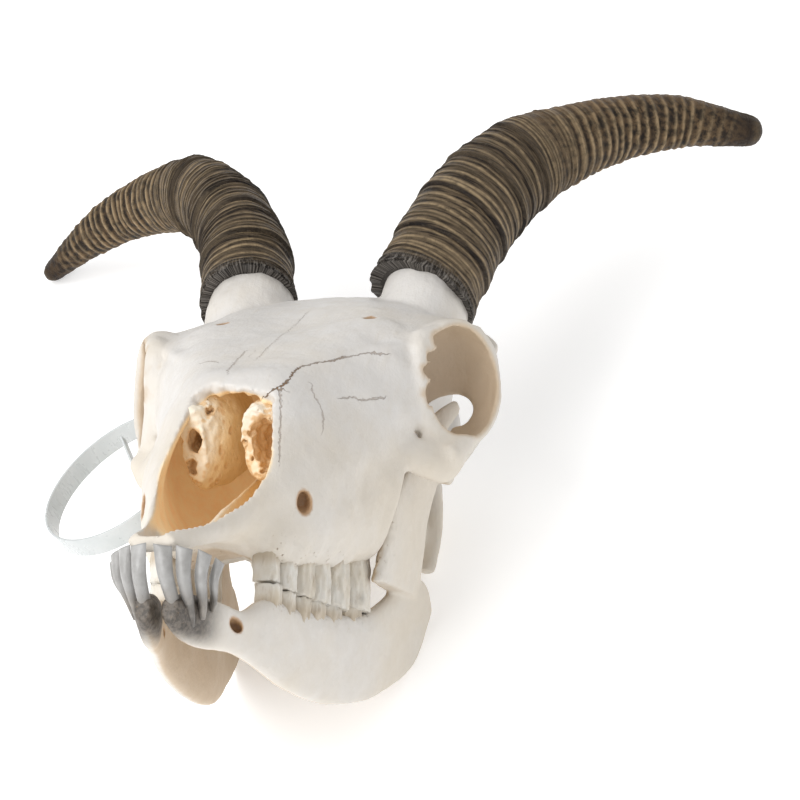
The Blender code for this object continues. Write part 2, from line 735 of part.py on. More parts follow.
def make_tag(name):
    """The loop, with the end of the strap that hangs inside it."""
    short = TAG_AXIS.cross(TAG_LONG)
    rings = []
    for turn in np.linspace(0, math.tau, 40, endpoint=False):
        out = TAG_LONG * (TAG_HALF[0] * math.cos(turn)) + short * (TAG_HALF[1] * math.sin(turn))
        rings.append(strip_ring(TAG_MIDDLE + out, TAG_AXIS, out.normalized(), *TAG_BAND))
    loop = skin(name, rings, closed=True)
    line = [Vector(p) for p in flow(TAG_TAIL, 8)]
    rings = []
    for i, point in enumerate(line):
        along = (line[min(i + 1, 7)] - line[max(i - 1, 0)]).normalized()
        wide_way = (TAG_AXIS - along * along.dot(TAG_AXIS)).normalized()
        rings.append(strip_ring(point, wide_way, along.cross(wide_way), 4, 1))
    tail = skin("tail", rings)
    carve(loop, [tail], "UNION")
    bpy.data.objects.remove(tail, do_unlink=True)
    return keep_largest(loop)


def place_in_world(obj):
    pose = Matrix.Rotation(-NOSE_UP, 4, "X") @ Matrix.Rotation(-LEAN, 4, "Y")
    obj.data.transform(Matrix.Scale(0.001, 4) @ Matrix.Translation(SEAT_MM) @ pose)
    obj.data.shade_smooth()
    obj.data.set_sharp_from_angle(angle=math.radians(50))


def main():
    clear_scene()
    model = new_collection(NAME)
    looks = {"bone": finish("bone", BONE), "inner": finish("inner_bone", INNER_BONE)}
    looks.update({"horn": finish("horn", HORN), "plastic": finish("plastic", PLASTIC)})
    horns = [make_horn("horn_left", HORN_LEFT), make_horn("horn_right", HORN_RIGHT)]
    cranium = make_cranium(horns)
    parts = [(cranium, "bone")]
    parts += [(make_jaw("mandible_left", 1), "bone"), (make_jaw("mandible_right", -1), "bone")]
    parts += [(horn, "horn") for horn in horns]
    for name, side in (("concha_left", 1), ("concha_right", -1)):
        parts.append((make_scroll(name, side, cranium), "inner"))
    parts += [(make_vomer("vomer", cranium), "inner"), (make_tag("tag_band"), "plastic")]
    for obj, look in parts:
        place_in_world(obj)
        obj.data.materials.clear()
        obj.data.materials.append(looks[look])
        bpy.context.scene.collection.objects.unlink(obj)
        model.objects.link(obj)


main()
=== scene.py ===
import math

import bmesh
import bpy
import numpy as np
from mathutils import Matrix, Vector, noise
from mathutils.bvhtree import BVHTree


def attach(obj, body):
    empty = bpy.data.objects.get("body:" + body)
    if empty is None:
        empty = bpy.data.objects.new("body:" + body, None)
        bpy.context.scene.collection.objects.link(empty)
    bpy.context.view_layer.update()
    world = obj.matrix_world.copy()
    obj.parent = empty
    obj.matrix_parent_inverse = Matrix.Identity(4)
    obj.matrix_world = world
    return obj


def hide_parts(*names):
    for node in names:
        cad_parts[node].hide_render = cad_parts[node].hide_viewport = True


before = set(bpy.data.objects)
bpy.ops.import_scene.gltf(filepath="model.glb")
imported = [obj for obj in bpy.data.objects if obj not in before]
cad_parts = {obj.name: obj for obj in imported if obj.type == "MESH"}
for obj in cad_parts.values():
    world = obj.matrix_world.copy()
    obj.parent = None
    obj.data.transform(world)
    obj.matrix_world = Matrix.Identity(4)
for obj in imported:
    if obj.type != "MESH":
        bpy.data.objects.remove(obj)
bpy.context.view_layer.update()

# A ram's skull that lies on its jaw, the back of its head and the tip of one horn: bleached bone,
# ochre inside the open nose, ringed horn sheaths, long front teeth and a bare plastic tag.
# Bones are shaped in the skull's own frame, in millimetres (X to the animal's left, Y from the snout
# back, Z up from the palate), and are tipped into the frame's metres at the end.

# How the skull lies: its nose is tipped up, it leans to its right, and its own zero, at the front of
# the palate, comes to this place of the frame, in millimetres.
NOSE_UP = math.radians(52.5)
LEAN = math.radians(3.5)
SEAT_MM = Vector((22.58, -173.62, 157.56))
POSE = Matrix.Rotation(-NOSE_UP, 4, "X") @ Matrix.Rotation(-LEAN, 4, "Y")
TO_WORLD = Matrix.Scale(0.001, 4) @ Matrix.Translation(SEAT_MM) @ POSE
FROM_WORLD = TO_WORLD.inverted()

# The camera: its place in metres and the ways it faces; its lens, sensor and picture's side in pixels.
CAMERA_PLACE = Vector((0.39804, -0.87325, 0.85892))
CAMERA_RIGHT = Vector((0.958453, 0.227837, -0.171632))
CAMERA_UP = Vector((-0.025447, 0.667584, 0.744100))
CAMERA_BACK = Vector((0.284112, -0.708817, 0.645646))
LENS = 149.133
SENSOR = 36.0
PICTURE = 800

# Clear room in the bone round the jaw's coronoid process, to its sides and along the skull.
ROOM_WIDE = 4.4
ROOM_LONG = 2.6
# Voxel sizes, in millimetres: of the bones as they are joined, of the cut bone and of the jaw.
GRAIN = 1.0
FINE = 0.8
JAW_GRAIN = 0.7
MOST_TRIANGLES = {"cranium": 190000, "jaw": 110000, "scroll": 90000, "plate": 30000}

# Sections of the skull from front to back: place, crown, then half width and height of the roof, of the
# side and of the floor, and the keel.
CORE = (
    (2, 5, 4, 4, 8, 1, 5, -2.5, -3),
    (12, 7, 7, 6, 10, 3, 7, -1, -1),
    (20, 9, 9, 8, 11.5, 5, 8, 1, 0),
    (42, 19, 14, 17.5, 16.5, 11, 12, 6, 5.5),
    (55, 30, 18, 27, 20.5, 16, 15, 7, 7.5),
    (63, 41, 20, 36, 25, 21, 22, 4.5, 7),
    (72, 56, 19, 50, 29.5, 26, 24.5, 2.5, 6),
    (80, 67.5, 18, 63, 32.5, 32, 26.5, 3.5, 6),
    (95, 76, 22, 72, 36, 41, 29.5, 6, 9),
    (112, 85, 29, 81, 40.5, 49, 32.5, 9, 12),
    (124, 91, 35, 87, 44.5, 54, 34.5, 12, 15),
    (134, 97, 41, 92, 48.5, 58, 34.5, 15.5, 16),
    (139, 99.5, 42, 95, 49.5, 61, 24.5, 23, 25),
    (144, 102, 42, 98, 45, 64, 20, 29, 29.5),
    (150, 105, 40, 100, 35, 66, 19, 33, 32),
    (165, 112, 40, 106, 30, 70, 17, 37, 36),
    (180, 118, 42, 110, 32, 74, 17, 39, 37),
    (195, 122, 43, 112, 35, 78, 19, 39, 38),
    (207, 119, 42, 106, 37, 78, 22, 39, 37),
    (218, 111, 38, 98, 37, 74, 26, 41, 38),
    (227, 99, 31, 88, 33, 68, 25, 48, 46),
    (233, 88, 22, 82, 24, 66, 18, 55, 53),
)
# Sections of the forehead: place, crown, half width, height of its edge, and depth.
SHIELD = (
    (100, 79, 20, 76, 12),
    (112, 85.5, 28, 81, 12),
    (124, 92, 37, 87, 12),
    (136, 98, 45.5, 92, 12),
    (148, 104, 53.5, 97, 12),
    (160, 110, 60.5, 101, 13),
    (170, 114, 62.5, 103.5, 15),
    (180, 117, 59, 105, 17),
    (190, 120, 50, 106, 16),
    (204, 120, 41, 104, 14),
)

# Hollows and swellings of the face, where the camera sees them: place in its picture, reach and depth.
FACE_PRESSES = (
    (408, 441, 7.5, 1.4),
    (392, 462, 6.0, 1.4),
    (436, 446, 5.0, 1.1),
    (442, 424, 4.0, -1.2),
    (402, 412, 4.0, -1.0),
    (455, 455, 3.0, -1.5),
    (300, 322, 13.0, 1.0),
    (352, 296, 9.0, -1.2),
    (380, 338, 4.5, 0.9),
    (390, 360, 7.0, -0.8),
    (345, 520, 7.0, -1.4),
    (366, 486, 7.0, 2.0),
    (330, 470, 8.0, -0.8),
    (285, 512, 6.0, 1.2),
    (318, 440, 8.0, 0.8),
    (350, 400, 9.0, 0.7),
)
# Crack and sutures: how bold each is, and the places of the camera's picture that it runs through.
SEAMS = (
    (1.0, ((266, 396), (275, 389), (283, 385), (290, 378), (295, 371), (300, 367))),
    (0.7, ((300, 367), (308, 365), (315, 363), (330, 361), (345, 357))),
    (0.45, ((345, 357), (367, 353), (384, 354))),
    (0.4, ((280, 391), (281, 405), (281, 420), (280, 440), (280, 459))),
    (0.35, ((312, 389), (315, 397), (320, 405), (323, 415), (323, 425))),
    (0.4, ((343, 398), (352, 397), (362, 400), (372, 399), (382, 398))),
    (0.35, ((228, 371), (232, 366), (237, 360), (245, 352))),
    (0.35, ((205, 362), (210, 361), (216, 362))),
)
# The seam along the middle of the forehead, in skull millimetres.
MIDDLE_SEAM = (0.25, ((0, 104, 82), (0.5, 122, 90), (-0.5, 140, 100), (0.5, 158, 109)))

# Rim of the nose's opening on the left, from the snout up to the broken edge, and the way it faces.
NOSE_RIM = (
    (4.5, 2, 3),
    (9.5, 22, 8.5),
    (13, 38, 15),
    (17, 51, 23),
    (19, 62, 35.5),
    (17, 70, 49),
    (14, 78, 63),
)
NOSE_BREAK = ((9, 77.5, 64), (0, 78.5, 65.5), (-9, 80, 67.5))
NOSE_FACES = Vector((0, -0.62, 0.785))
CAVITY = (
    (9, 40, 5, 22, 6, 10, 4, 6, 5),
    (20, 40, 7, 25, 8.5, 10, 5, 5, 4),
    (42, 50, 11, 30, 13, 14, 9, 9, 8),
    (55, 60, 14, 40, 17, 18, 11, 10, 9),
    (63, 52, 15, 44, 20.5, 24, 14, 10, 9),
    (71, 59, 13, 53, 21.5, 30, 16, 10, 9),
    (80, 63, 13.5, 58, 25.5, 36, 18, 12, 11),
    (95, 71, 17, 66, 29, 43, 20, 14, 14),
    (112, 79, 21, 73, 31, 50, 20, 18, 16),
    (126, 76, 14, 70, 21, 52, 13, 30, 30),
)
ORBIT_CENTRE = Vector((57, 157, 79))
ORBIT_RIM = (
    (50, 142, 93, 4, 4),
    (55, 153, 97.5, 4, 5),
    (60, 163, 100, 3.5, 4.5),
    (65.5, 170.5, 97, 3, 3),
    (69, 174.5, 88, 2.2, 2.2),
    (69.2, 175, 76, 2.2, 2.2),
    (66.5, 172.5, 66.5, 2.4, 2.6),
    (61.5, 165, 60.5, 3.5, 3.5),
    (57, 157, 56.5, 5.5, 5),
    (53, 149, 58.5, 5, 5),
    (50, 142, 66, 4, 4.5),
    (49, 138.5, 77, 3.5, 4.5),
    (49, 139, 87, 3.5, 4.5),
)
ORBIT_HOLLOW = ((56.5, 159, 80), (18.2, 20.3, 21))
ORBIT_CUP = ((56, 160, 80), (21, 23, 24))
ORBIT_WINDOW = ((52.3, 180, 73.5), (6.4, 12, 6.8))
# The cup ends at its rim, in a plane that faces this way, so far out from its middle.
ORBIT_FACES = (0.894, -0.447, 0)
ORBIT_OPENS = 6
ORBIT_SHIFT = {1: -1.0, -1: -1.8}
CHEEK_BONE = (
    (43, 131, 51, 3, 5),
    (50, 140, 50, 4.5, 7.5),
    (57, 148, 49, 4.5, 7.5),
    (60, 156, 56, 4, 5),
    (61, 164, 61, 4, 4.2),
)
ARCH = (
    (61, 163, 61, 3.5, 4.4),
    (63, 173, 64.5, 2.8, 3.8),
    (60.5, 184, 65.5, 2.6, 3.6),
    (56, 196, 64.5, 2.8, 3.6),
    (46, 206, 60, 5, 4.5),
    (34, 212, 58, 7, 7),
)
ARCH_LIFT = {1: 3.5, -1: 0}
TEMPORAL_WALL = ((35, 186, 96, 7, 11), (48, 184, 95, 5, 12), (59, 180, 93, 3.2, 11), (65, 177, 90, 2.6, 8))
PTERYGOID = ((15, 140, 22, 3, 8), (13, 150, 22, 2.2, 9), (12, 160, 28, 2.2, 8), (13, 170, 35, 4, 5))
PARACONDYLAR_TIP = {1: 17.8, -1: 20.9}
PARACONDYLAR = (
    (29, 220, 54, 7, 6),
    (31.5, 218, 42, 5.5, 4.5),
    (33, 214, 30, 5, 3.5),
    (33.4, 210, 18.5, 3.4, 2.8),
)
NUCHAL_CREST = (
    (-39, 219, 66, 4, 4),
    (-36, 226, 82, 4, 4),
    (-20, 232, 91, 4, 4),
    (0, 234, 93, 5, 4),
    (20, 232, 91, 4, 4),
    (36, 226, 82, 4, 4),
    (39, 219, 66, 4, 4),
)
BULLA = ((26, 206, 34), (7.5, 11, 9))
CONDYLE = ((15, 224.5, 53.5), (9, 7.5, 10))
# The core of the right horn stands further out than that of the left, by so much.
PEDICLE_OUTWARDS = {1: 0, -1: 2.5}
PEDICLE = (
    (31, 193, 104, 17, 19),
    (33, 198, 113, 17, 19),
    (33.5, 202, 121, 16.5, 18.5),
    (36, 206, 129, 16, 18),
)
INFRAORBITAL = ((36, 63, 21.5, 3.4, 4.4), (30, 70, 23, 3.2, 4.2), (26, 76, 25, 1.8, 2.4))
BROW_CANAL = ((28, 144.5, 107, 2.0, 2.8), (28.3, 147.5, 100.5, 1.7, 2.3), (29, 151, 92, 1.4, 1.6))
CHIN_CANAL = ((17.5, 35.5, -21.5, 2.8, 2.0), (14.5, 40, -22.5, 2.6, 1.8), (12, 46, -24, 1.6, 1.4))
FORAMEN_MAGNUM = ((0, 234, 66), (8.5, 14, 9))
CHOANA = ((0, 158, 24), (9, 22, 12))
PALATE_VAULT = ((0, 98, 1), (15, 44, 8))
PALATINE_FISSURE = ((5.2, 28, 3), (2.4, 12, 9))

# Cheek teeth, front to back: length along the row, and width.
CHEEK_TEETH = ((8, 8), (10, 10), (10.5, 11), (13, 12), (15.5, 12.5), (17, 12))
# How deep a crown goes into the bone, and how much of its share of the row it fills.
SOCKET_DEPTH = 6
TOOTH_SHARE = 0.95
# Outer line of each row, along the edge of its sockets, and the height of each crown's worn end.
UPPER_ROW = ((21, 60, 3), (27.5, 82, 5), (31.5, 112, 9), (35, 139, 15))
LOWER_ROW = ((21.4, 59, -11.2), (25.8, 83, -11.2), (28.8, 118, -9), (31.2, 136.5, -6.5))
UPPER_BITE = (-3.8, -5.8, -6.7, -7, -7, -5.6)
LOWER_BITE = (-6.2, -7.8, -8.1, -7.8, -7.7, -6.4)

JAW_BODY = (
    (6, 4.2, -17, -25, 7),
    (14, 5.6, -14.5, -29, 9.5),
    (24, 8.5, -14.5, -31, 10),
    (34, 12, -15.5, -31, 8),
    (45, 15, -16.5, -31.5, 8),
    (57, 18, -11.5, -34.5, 9.5),
    (75, 20.5, -11, -38.5, 11),
    (95, 22.8, -10.5, -40.5, 11.5),
    (118, 25.8, -9, -40.5, 11.5),
    (134, 29, -7, -38.5, 10.5),
    (150, 32.3, 0, -35, 8),
    (163, 35, 8, -30, 6.5),
    (176, 37.2, 12, -24, 6),
    (186, 38.5, 8, -15, 6),
    (189.5, 39, 2, -7, 4.5),
)
RAMUS = (
    (36, 128, 4, 180, 7),
    (38, 131.5, 18, 178, 7),
    (39.5, 134, 32, 178, 7),
    (40.5, 142, 43, 184, 6.5),
    (41.5, 147, 49, 187, 6),
)
JAW_PLAY = {1: (0.0, (0.9, 1.5, 0)), -1: (math.radians(-0.6), (0.8, -1.0, 0))}
JAW_CONDYLE = ((36, 186, 50, 4, 4), (42, 187, 52, 5, 4), (48, 187, 51, 4, 4))
CORONOID = ((41, 160, 46, 3, 10), (43, 168, 58, 2.5, 8), (45.5, 177, 69, 2.2, 5.5), (49, 187, 77, 1.8, 3))

# Front teeth of one half: root, then tip, then width.
INCISORS = (
    ((4.6, 11, -21), (3.6, -0.9, -1.1), 6.0),
    ((8.4, 13, -19.5), (9.8, 2.5, -1.5), 5.5),
    ((11.6, 16.5, -17.5), (15.0, 8.0, -2.5), 5.0),
    ((13.6, 21.5, -15.5), (18.0, 14.0, -4.5), 3.8),
)
INCISOR_BOW = 2.6

HORN_LEFT = (
    (32, 202, 122, 20.5, 23),
    (43, 219, 155, 20.5, 21.5),
    (59, 241, 182, 19, 19),
    (84, 264, 200, 14.5, 14.5),
    (111, 287, 210, 12, 11.5),
    (139, 302, 209, 8, 7),
)
HORN_RIGHT = (
    (-37, 202, 122, 18.5, 23),
    (-47, 220, 152, 17, 21.5),
    (-73, 247, 178, 15, 17.5),
    (-109, 275, 183, 10.5, 12.5),
    (-140, 297, 177.5, 8.5, 9),
    (-164, 312, 166.5, 5, 5),
)

# Growth rings of a horn: crowded ones up to one share of its length, then ribs from one share to
# another, each with the least and the most gap, and the shares where a thick step of growth stands.
CROWDED_TO = 0.62
CROWDED_GAP = (1.1, 3.4)
RIBS_FROM = 0.47
RIBS_TO = 0.97
RIB_GAP = (3.6, 5.4)
GROWTH_STEPS = (0.285, 0.415, 0.1, 0.19)
# The turn round a horn at which the outer side of its bend lies, more or less.
HORN_BEND = 0.6 + math.pi

# Scrolls of bone in the open nose: middle line with half widths, the channels in their ends, and the
# crumbs of cells, each a place and its reach.
SCROLLS = {
    -1: (
        (
            (-14.8, 81, 45, 4.8, 13.5),
            (-13.5, 88, 47.5, 7, 16),
            (-11.5, 100, 53, 8.7, 17.5),
            (-10.5, 115, 59, 8, 16),
        ),
        (
            ((-14.4, 75, 46.4, 3.0, 5.0), (-13.8, 94, 48.5, 2.0, 3.4)),
            ((-16.4, 76, 37.2, 2.0, 3.0), (-15.6, 88, 39.5, 1.6, 2.4)),
        ),
        ((-12.4, 83, 56.8, 3.7, 4.5, 3.2), (-16.2, 85, 38.5, 2.4, 3.0, 3.4)),
    ),
    1: (
        (
            (8.3, 80, 46, 6, 12),
            (9, 87, 48, 7.8, 13.8),
            (10.5, 100, 53, 9, 15),
            (11, 115, 58, 8, 14),
        ),
        (
            ((10.4, 74, 46, 4.7, 9.2), (11, 84, 47, 4.0, 7.6), (11.3, 95, 49, 2.2, 4.0)),
            ((11.4, 76, 37.4, 2.3, 1.7), (11.8, 88, 39.8, 2.0, 1.5)),
        ),
        ((4.4, 81.5, 45, 1.7, 3.2, 6.0), (9.0, 82, 55, 4.2, 4.5, 2.4), (11.4, 83, 37.6, 2.4, 3.0, 1.6)),
    ),
}
# How many cells each crumb has, and how many pores a scroll has.
CELLS = 26
PORES = 46

# Plate on the nose's floor: places from front to back, then its foot, top, lean and half thickness.
PLATE_LOW = ((50, 58, 90, 118), (7, 8, 10, 12))
PLATE_HIGH = ((50, 58, 64, 76, 104, 118), (11, 15, 19, 25, 39, 44))
PLATE_LEAN = ((50, 70, 118), (0.6, 2.2, 5.5))
PLATE_THICK = ((50, 118), (2.2, 1.0))

# The tag: its loop's middle, axis and long way, its half sizes, its strap, and the line of its end.
TAG_MIDDLE = Vector((-78.4, 180.9, 50.6))
TAG_AXIS = Vector((0.320, 0.752, -0.576)).normalized()
TAG_LONG = Vector((0.521, 0.368, 0.770)).normalized()
TAG_HALF = (33.0, 31.6)
TAG_WIDE = 8.6
TAG_WALL = 1.0
TAG_ROUNDED = 0.28
TAG_TAIL_HALF = 2.0
TAG_TAIL = ((-81.5, 186.5, 69), (-72.3, 182, 52.6), (-62, 175.5, 38))


# ---- tools of the bench -----------------------------------------------------------------------


def deselect():
    for obj in bpy.context.selected_objects:
        obj.select_set(False)


def pick(*objs):
    deselect()
    for obj in objs:
        obj.select_set(True)
    bpy.context.view_layer.objects.active = objs[-1]


def apply_all(obj):
    pick(obj)
    for modifier in list(obj.modifiers):
        bpy.ops.object.modifier_apply(modifier=modifier.name)
    return obj


def joined(name, objs):
    """The objects as one, under one name."""
    pick(*objs)
    bpy.ops.object.join()
    whole = bpy.context.object
    whole.name = whole.data.name = name
    return whole


def drop(*objs):
    for obj in objs:
        bpy.data.objects.remove(obj, do_unlink=True)


def points_of(obj):
    found = np.empty(len(obj.data.vertices) * 3)
    obj.data.vertices.foreach_get("co", found)
    return found.reshape(-1, 3)


def move_points(obj, points):
    obj.data.vertices.foreach_set("co", np.asarray(points, float).ravel())
    obj.data.update()


def normals_of(obj):
    found = np.empty(len(obj.data.vertices) * 3)
    obj.data.vertex_normals.foreach_get("vector", found)
    return found.reshape(-1, 3)


def paint(obj, name, values):
    """Keeps one number for each vertex, for the material to read."""
    layer = obj.data.attributes.get(name) or obj.data.attributes.new(name, "FLOAT", "POINT")
    layer.data.foreach_set("value", np.asarray(values, np.float32))


def smooth_step(low, high, value):
    t = np.clip((value - low) / (high - low), 0, 1)
    return t * t * (3 - 2 * t)


def round_off(value, power):
    """The size of the value to that power, with its own sign, which squares off a round outline."""
    return math.copysign(abs(value) ** power, value)


def ripple(points, scale, seed, octaves=3):
    """Smooth noise of about -1 to 1 at each point."""
    away = Vector((17.3 * seed, 5.1 * seed, 9.7 * seed))
    return np.array([noise.fractal(Vector(p) * scale + away, 0.9, 2.1, octaves) for p in points])


def tree_of(obj):
    mesh = obj.data
    mesh.calc_loop_triangles()
    faces = np.empty(len(mesh.loop_triangles) * 3, np.int32)
    mesh.loop_triangles.foreach_get("vertices", faces)
    corners = [tuple(p) for p in points_of(obj)]
    return BVHTree.FromPolygons(corners, [tuple(f) for f in faces.reshape(-1, 3)])


def distances(tree, points, most):
    found = np.full(len(points), float(most))
    for i, point in enumerate(points):
        hit = tree.find_nearest(Vector(point), most)
        if hit[0] is not None:
            found[i] = hit[3]
    return found


def seen_at(tree, u, v):
    """Where the camera's ray through that place of its picture meets the bone, in millimetres."""
    x, y = ((place - PICTURE / 2) / PICTURE * SENSOR / LENS for place in (u, v))
    start = FROM_WORLD @ CAMERA_PLACE
    way = (FROM_WORLD.to_3x3() @ (CAMERA_RIGHT * x - CAMERA_UP * y - CAMERA_BACK)).normalized()
    return tree.ray_cast(start, way)[0]


# ---- curves and rings -------------------------------------------------------------------------


def flow(rows, count, closed=False):
    """count points on a smooth curve through the rows, which may be of any width."""
    rows = np.array(rows, float)
    if closed:
        rows = np.vstack([rows[-1:], rows, rows[:2]])
    else:
        rows = np.vstack([2 * rows[:1] - rows[1:2], rows, 2 * rows[-1:] - rows[-2:-1]])
    spans = len(rows) - 3
    place = np.linspace(0, spans, count, endpoint=not closed)
    i = np.minimum(place.astype(int), spans - 1)
    t = (place - i)[:, None]
    a, b, c, d = (rows[i + k] for k in range(4))
    return 0.5 * (2 * b + (c - a) * t + (2 * a - 5 * b + 4 * c - d) * t**2 + (3 * b - a - 3 * c + d) * t**3)


def between(rows, step):
    """The rows filled in, so that their first value climbs by about step from one to the next."""
    rows = np.array(rows, float)
    slope = np.gradient(rows, rows[:, 0], axis=0)
    found = []
    for i in range(len(rows) - 1):
        width = rows[i + 1, 0] - rows[i, 0]
        for t in np.arange(0, 1, 1 / max(1, round(width / step))):
            h = np.array((2 * t**3 - 3 * t**2 + 1, t**3 - 2 * t**2 + t, 3 * t**2 - 2 * t**3, t**3 - t**2))
            ahead = h[2] * rows[i + 1] + h[3] * width * slope[i + 1]
            found.append(h[0] * rows[i] + h[1] * width * slope[i] + ahead)
    return np.vstack([found, rows[-1:]])


def core_ring(row):
    y, crown, roof_w, roof, side_w, side, floor_w, floor, keel = row
    half = ((roof_w, roof), (side_w, side), (floor_w, floor))
    corners = [(0, crown), *half, (0, keel), *[(-x, z) for x, z in reversed(half)]]
    return [(x, y, z) for x, z in flow(corners, 96, closed=True)]


def shield_ring(row):
    y, crown, width, edge, depth = row
    low = edge - depth
    middle = (0.55 * width, 0.5 * (crown + edge) + 1.5)
    half = (middle, (width, edge), (0.94 * width, edge - 4), (0.5 * width, low - 4))
    corners = [(0, crown), *half, (0, low - 6), *[(-x, z) for x, z in reversed(half)]]
    return [(x, y, z) for x, z in flow(corners, 96, closed=True)]


def oval_ring(centre, across, up, wide, high, count):
    turns = np.linspace(0, math.tau, count, endpoint=False)
    return [centre + across * (wide * math.cos(a)) + up * (high * math.sin(a)) for a in turns]


def square_to(along, way):
    """The way, turned square to along."""
    return (way - along * way.dot(along)).normalized()


def heading(line, i):
    """The way that a line of places runs at one of them."""
    return (line[min(i + 1, len(line) - 1)] - line[max(i - 1, 0)]).normalized()


def at_side(place, side):
    """A place or a row given for the left side, on the side that is meant."""
    return (side * place[0], *place[1:])


def mirrored(rows, side):
    return [at_side(row, side) for row in rows]


# ---- meshes -----------------------------------------------------------------------------------


def mesh_object(name, points, faces):
    mesh = bpy.data.meshes.new(name)
    mesh.from_pydata([tuple(p) for p in points], [], faces)
    obj = bpy.data.objects.new(name, mesh)
    bpy.context.scene.collection.objects.link(obj)
    shape = bmesh.new()
    shape.from_mesh(mesh)
    bmesh.ops.recalc_face_normals(shape, faces=shape.faces)
    if shape.calc_volume(signed=True) < 0:
        bmesh.ops.reverse_faces(shape, faces=shape.faces)
    shape.to_mesh(mesh)
    shape.free()
    return obj


def skin(name, rings, closed=False):
    """One surface over the rings, capped unless it closes on itself."""
    size = len(rings[0])
    points = [p for ring in rings for p in ring]
    faces = []
    for i in range(len(rings) if closed else len(rings) - 1):
        a, b = i * size, (i + 1) % len(rings) * size
        for j in range(size):
            k = (j + 1) % size
            faces.append((a + j, a + k, b + k, b + j))
    if not closed:
        faces += [tuple(reversed(range(size))), tuple(range(len(points) - size, len(points)))]
    return mesh_object(name, points, faces)


def swept(name, stations, ring):
    """One surface over the sections at the stations, filled in every two millimetres or so."""
    return skin(name, [ring(row) for row in between(stations, 2)])


def tube(name, rows, side=Vector((1, 0, 0)), steps=8, closed=False, count=24):
    """A rod through the rows, each a place with its radius towards side and its radius square to that."""
    line = flow(rows, (len(rows) if closed else len(rows) - 1) * steps + (not closed), closed)
    centres = [Vector(row[:3]) for row in line]
    rings = []
    for i, row in enumerate(line):
        ahead = centres[(i + 1) % len(line)] if closed or i + 1 < len(line) else centres[i]
        behind = centres[i - 1] if closed or i else centres[i]
        along = (ahead - behind).normalized()
        across = square_to(along, side(centres[i]) if callable(side) else side)
        rings.append(oval_ring(centres[i], across, along.cross(across), row[3], row[4], count))
    return skin(name, rings, closed)


def blob(name, centre, radii):
    deselect()
    bpy.ops.mesh.primitive_uv_sphere_add(segments=32, ring_count=20, radius=1, location=centre, scale=radii)
    bpy.ops.object.transform_apply(location=True, rotation=True, scale=True)
    obj = bpy.context.object
    obj.name = name
    return obj


def flattened(obj, centre, way, reach):
    """Presses flat what stands further out than reach from the centre, on the side that faces way."""
    centre, way = Vector(centre), Vector(way).normalized()
    for vert in obj.data.vertices:
        over = (vert.co - centre).dot(way) - reach
        if over > 0:
            vert.co -= way * over
    return obj


def fuse(name, pieces, grain, smoothing):
    """One skin round all the pieces, smoothed as bone is."""
    return knit(joined(name, pieces), grain, smoothing)


def carve(obj, cutter, operation="DIFFERENCE"):
    cut = obj.modifiers.new("cut", "BOOLEAN")
    cut.operation = operation
    cut.solver = "MANIFOLD"
    cut.object = cutter
    return apply_all(obj)


def knit(obj, grain, smoothing):
    remesh = obj.modifiers.new("knit", "REMESH")
    remesh.mode = "VOXEL"
    remesh.voxel_size = grain
    if smoothing:
        smooth = obj.modifiers.new("smooth", "SMOOTH")
        smooth.factor = 0.5
        smooth.iterations = smoothing
    return apply_all(obj)


def thin(obj, most):
    obj.data.calc_loop_triangles()
    count = len(obj.data.loop_triangles)
    if count > most:
        decimate = obj.modifiers.new("thin", "DECIMATE")
        decimate.ratio = most / count
        apply_all(obj)
    return obj


def keep_largest(obj):
    shape = bmesh.new()
    shape.from_mesh(obj.data)
    unseen = set(shape.verts)
    islands = []
    while unseen:
        heap = [unseen.pop()]
        island = list(heap)
        while heap:
            for edge in heap.pop().link_edges:
                for vert in edge.verts:
                    if vert in unseen:
                        unseen.remove(vert)
                        island.append(vert)
                        heap.append(vert)
        islands.append(island)
    islands.sort(key=len)
    for island in islands[:-1]:
        bmesh.ops.delete(shape, geom=island, context="VERTS")
    shape.to_mesh(obj.data)
    shape.free()
    return obj


def finish_piece(obj, material, slot, *nodes):
    obj.data.transform(TO_WORLD)
    obj.data.materials.clear()
    obj.data.materials.append(material)
    pick(obj)
    bpy.ops.object.shade_smooth()
    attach(obj, "root")
    if nodes:
        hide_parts(*nodes)
    return obj


# ---- bones ------------------------------------------------------------------------------------


def arch_rows(side):
    """The cheek arch of one side, whose middle stands higher on the left."""
    rows = []
    for x, y, z, wide, high in mirrored(ARCH, side):
        lift = ARCH_LIFT[side] if 165 < y < 210 else 0
        rows.append((x, y, z + lift, wide, high))
    return rows


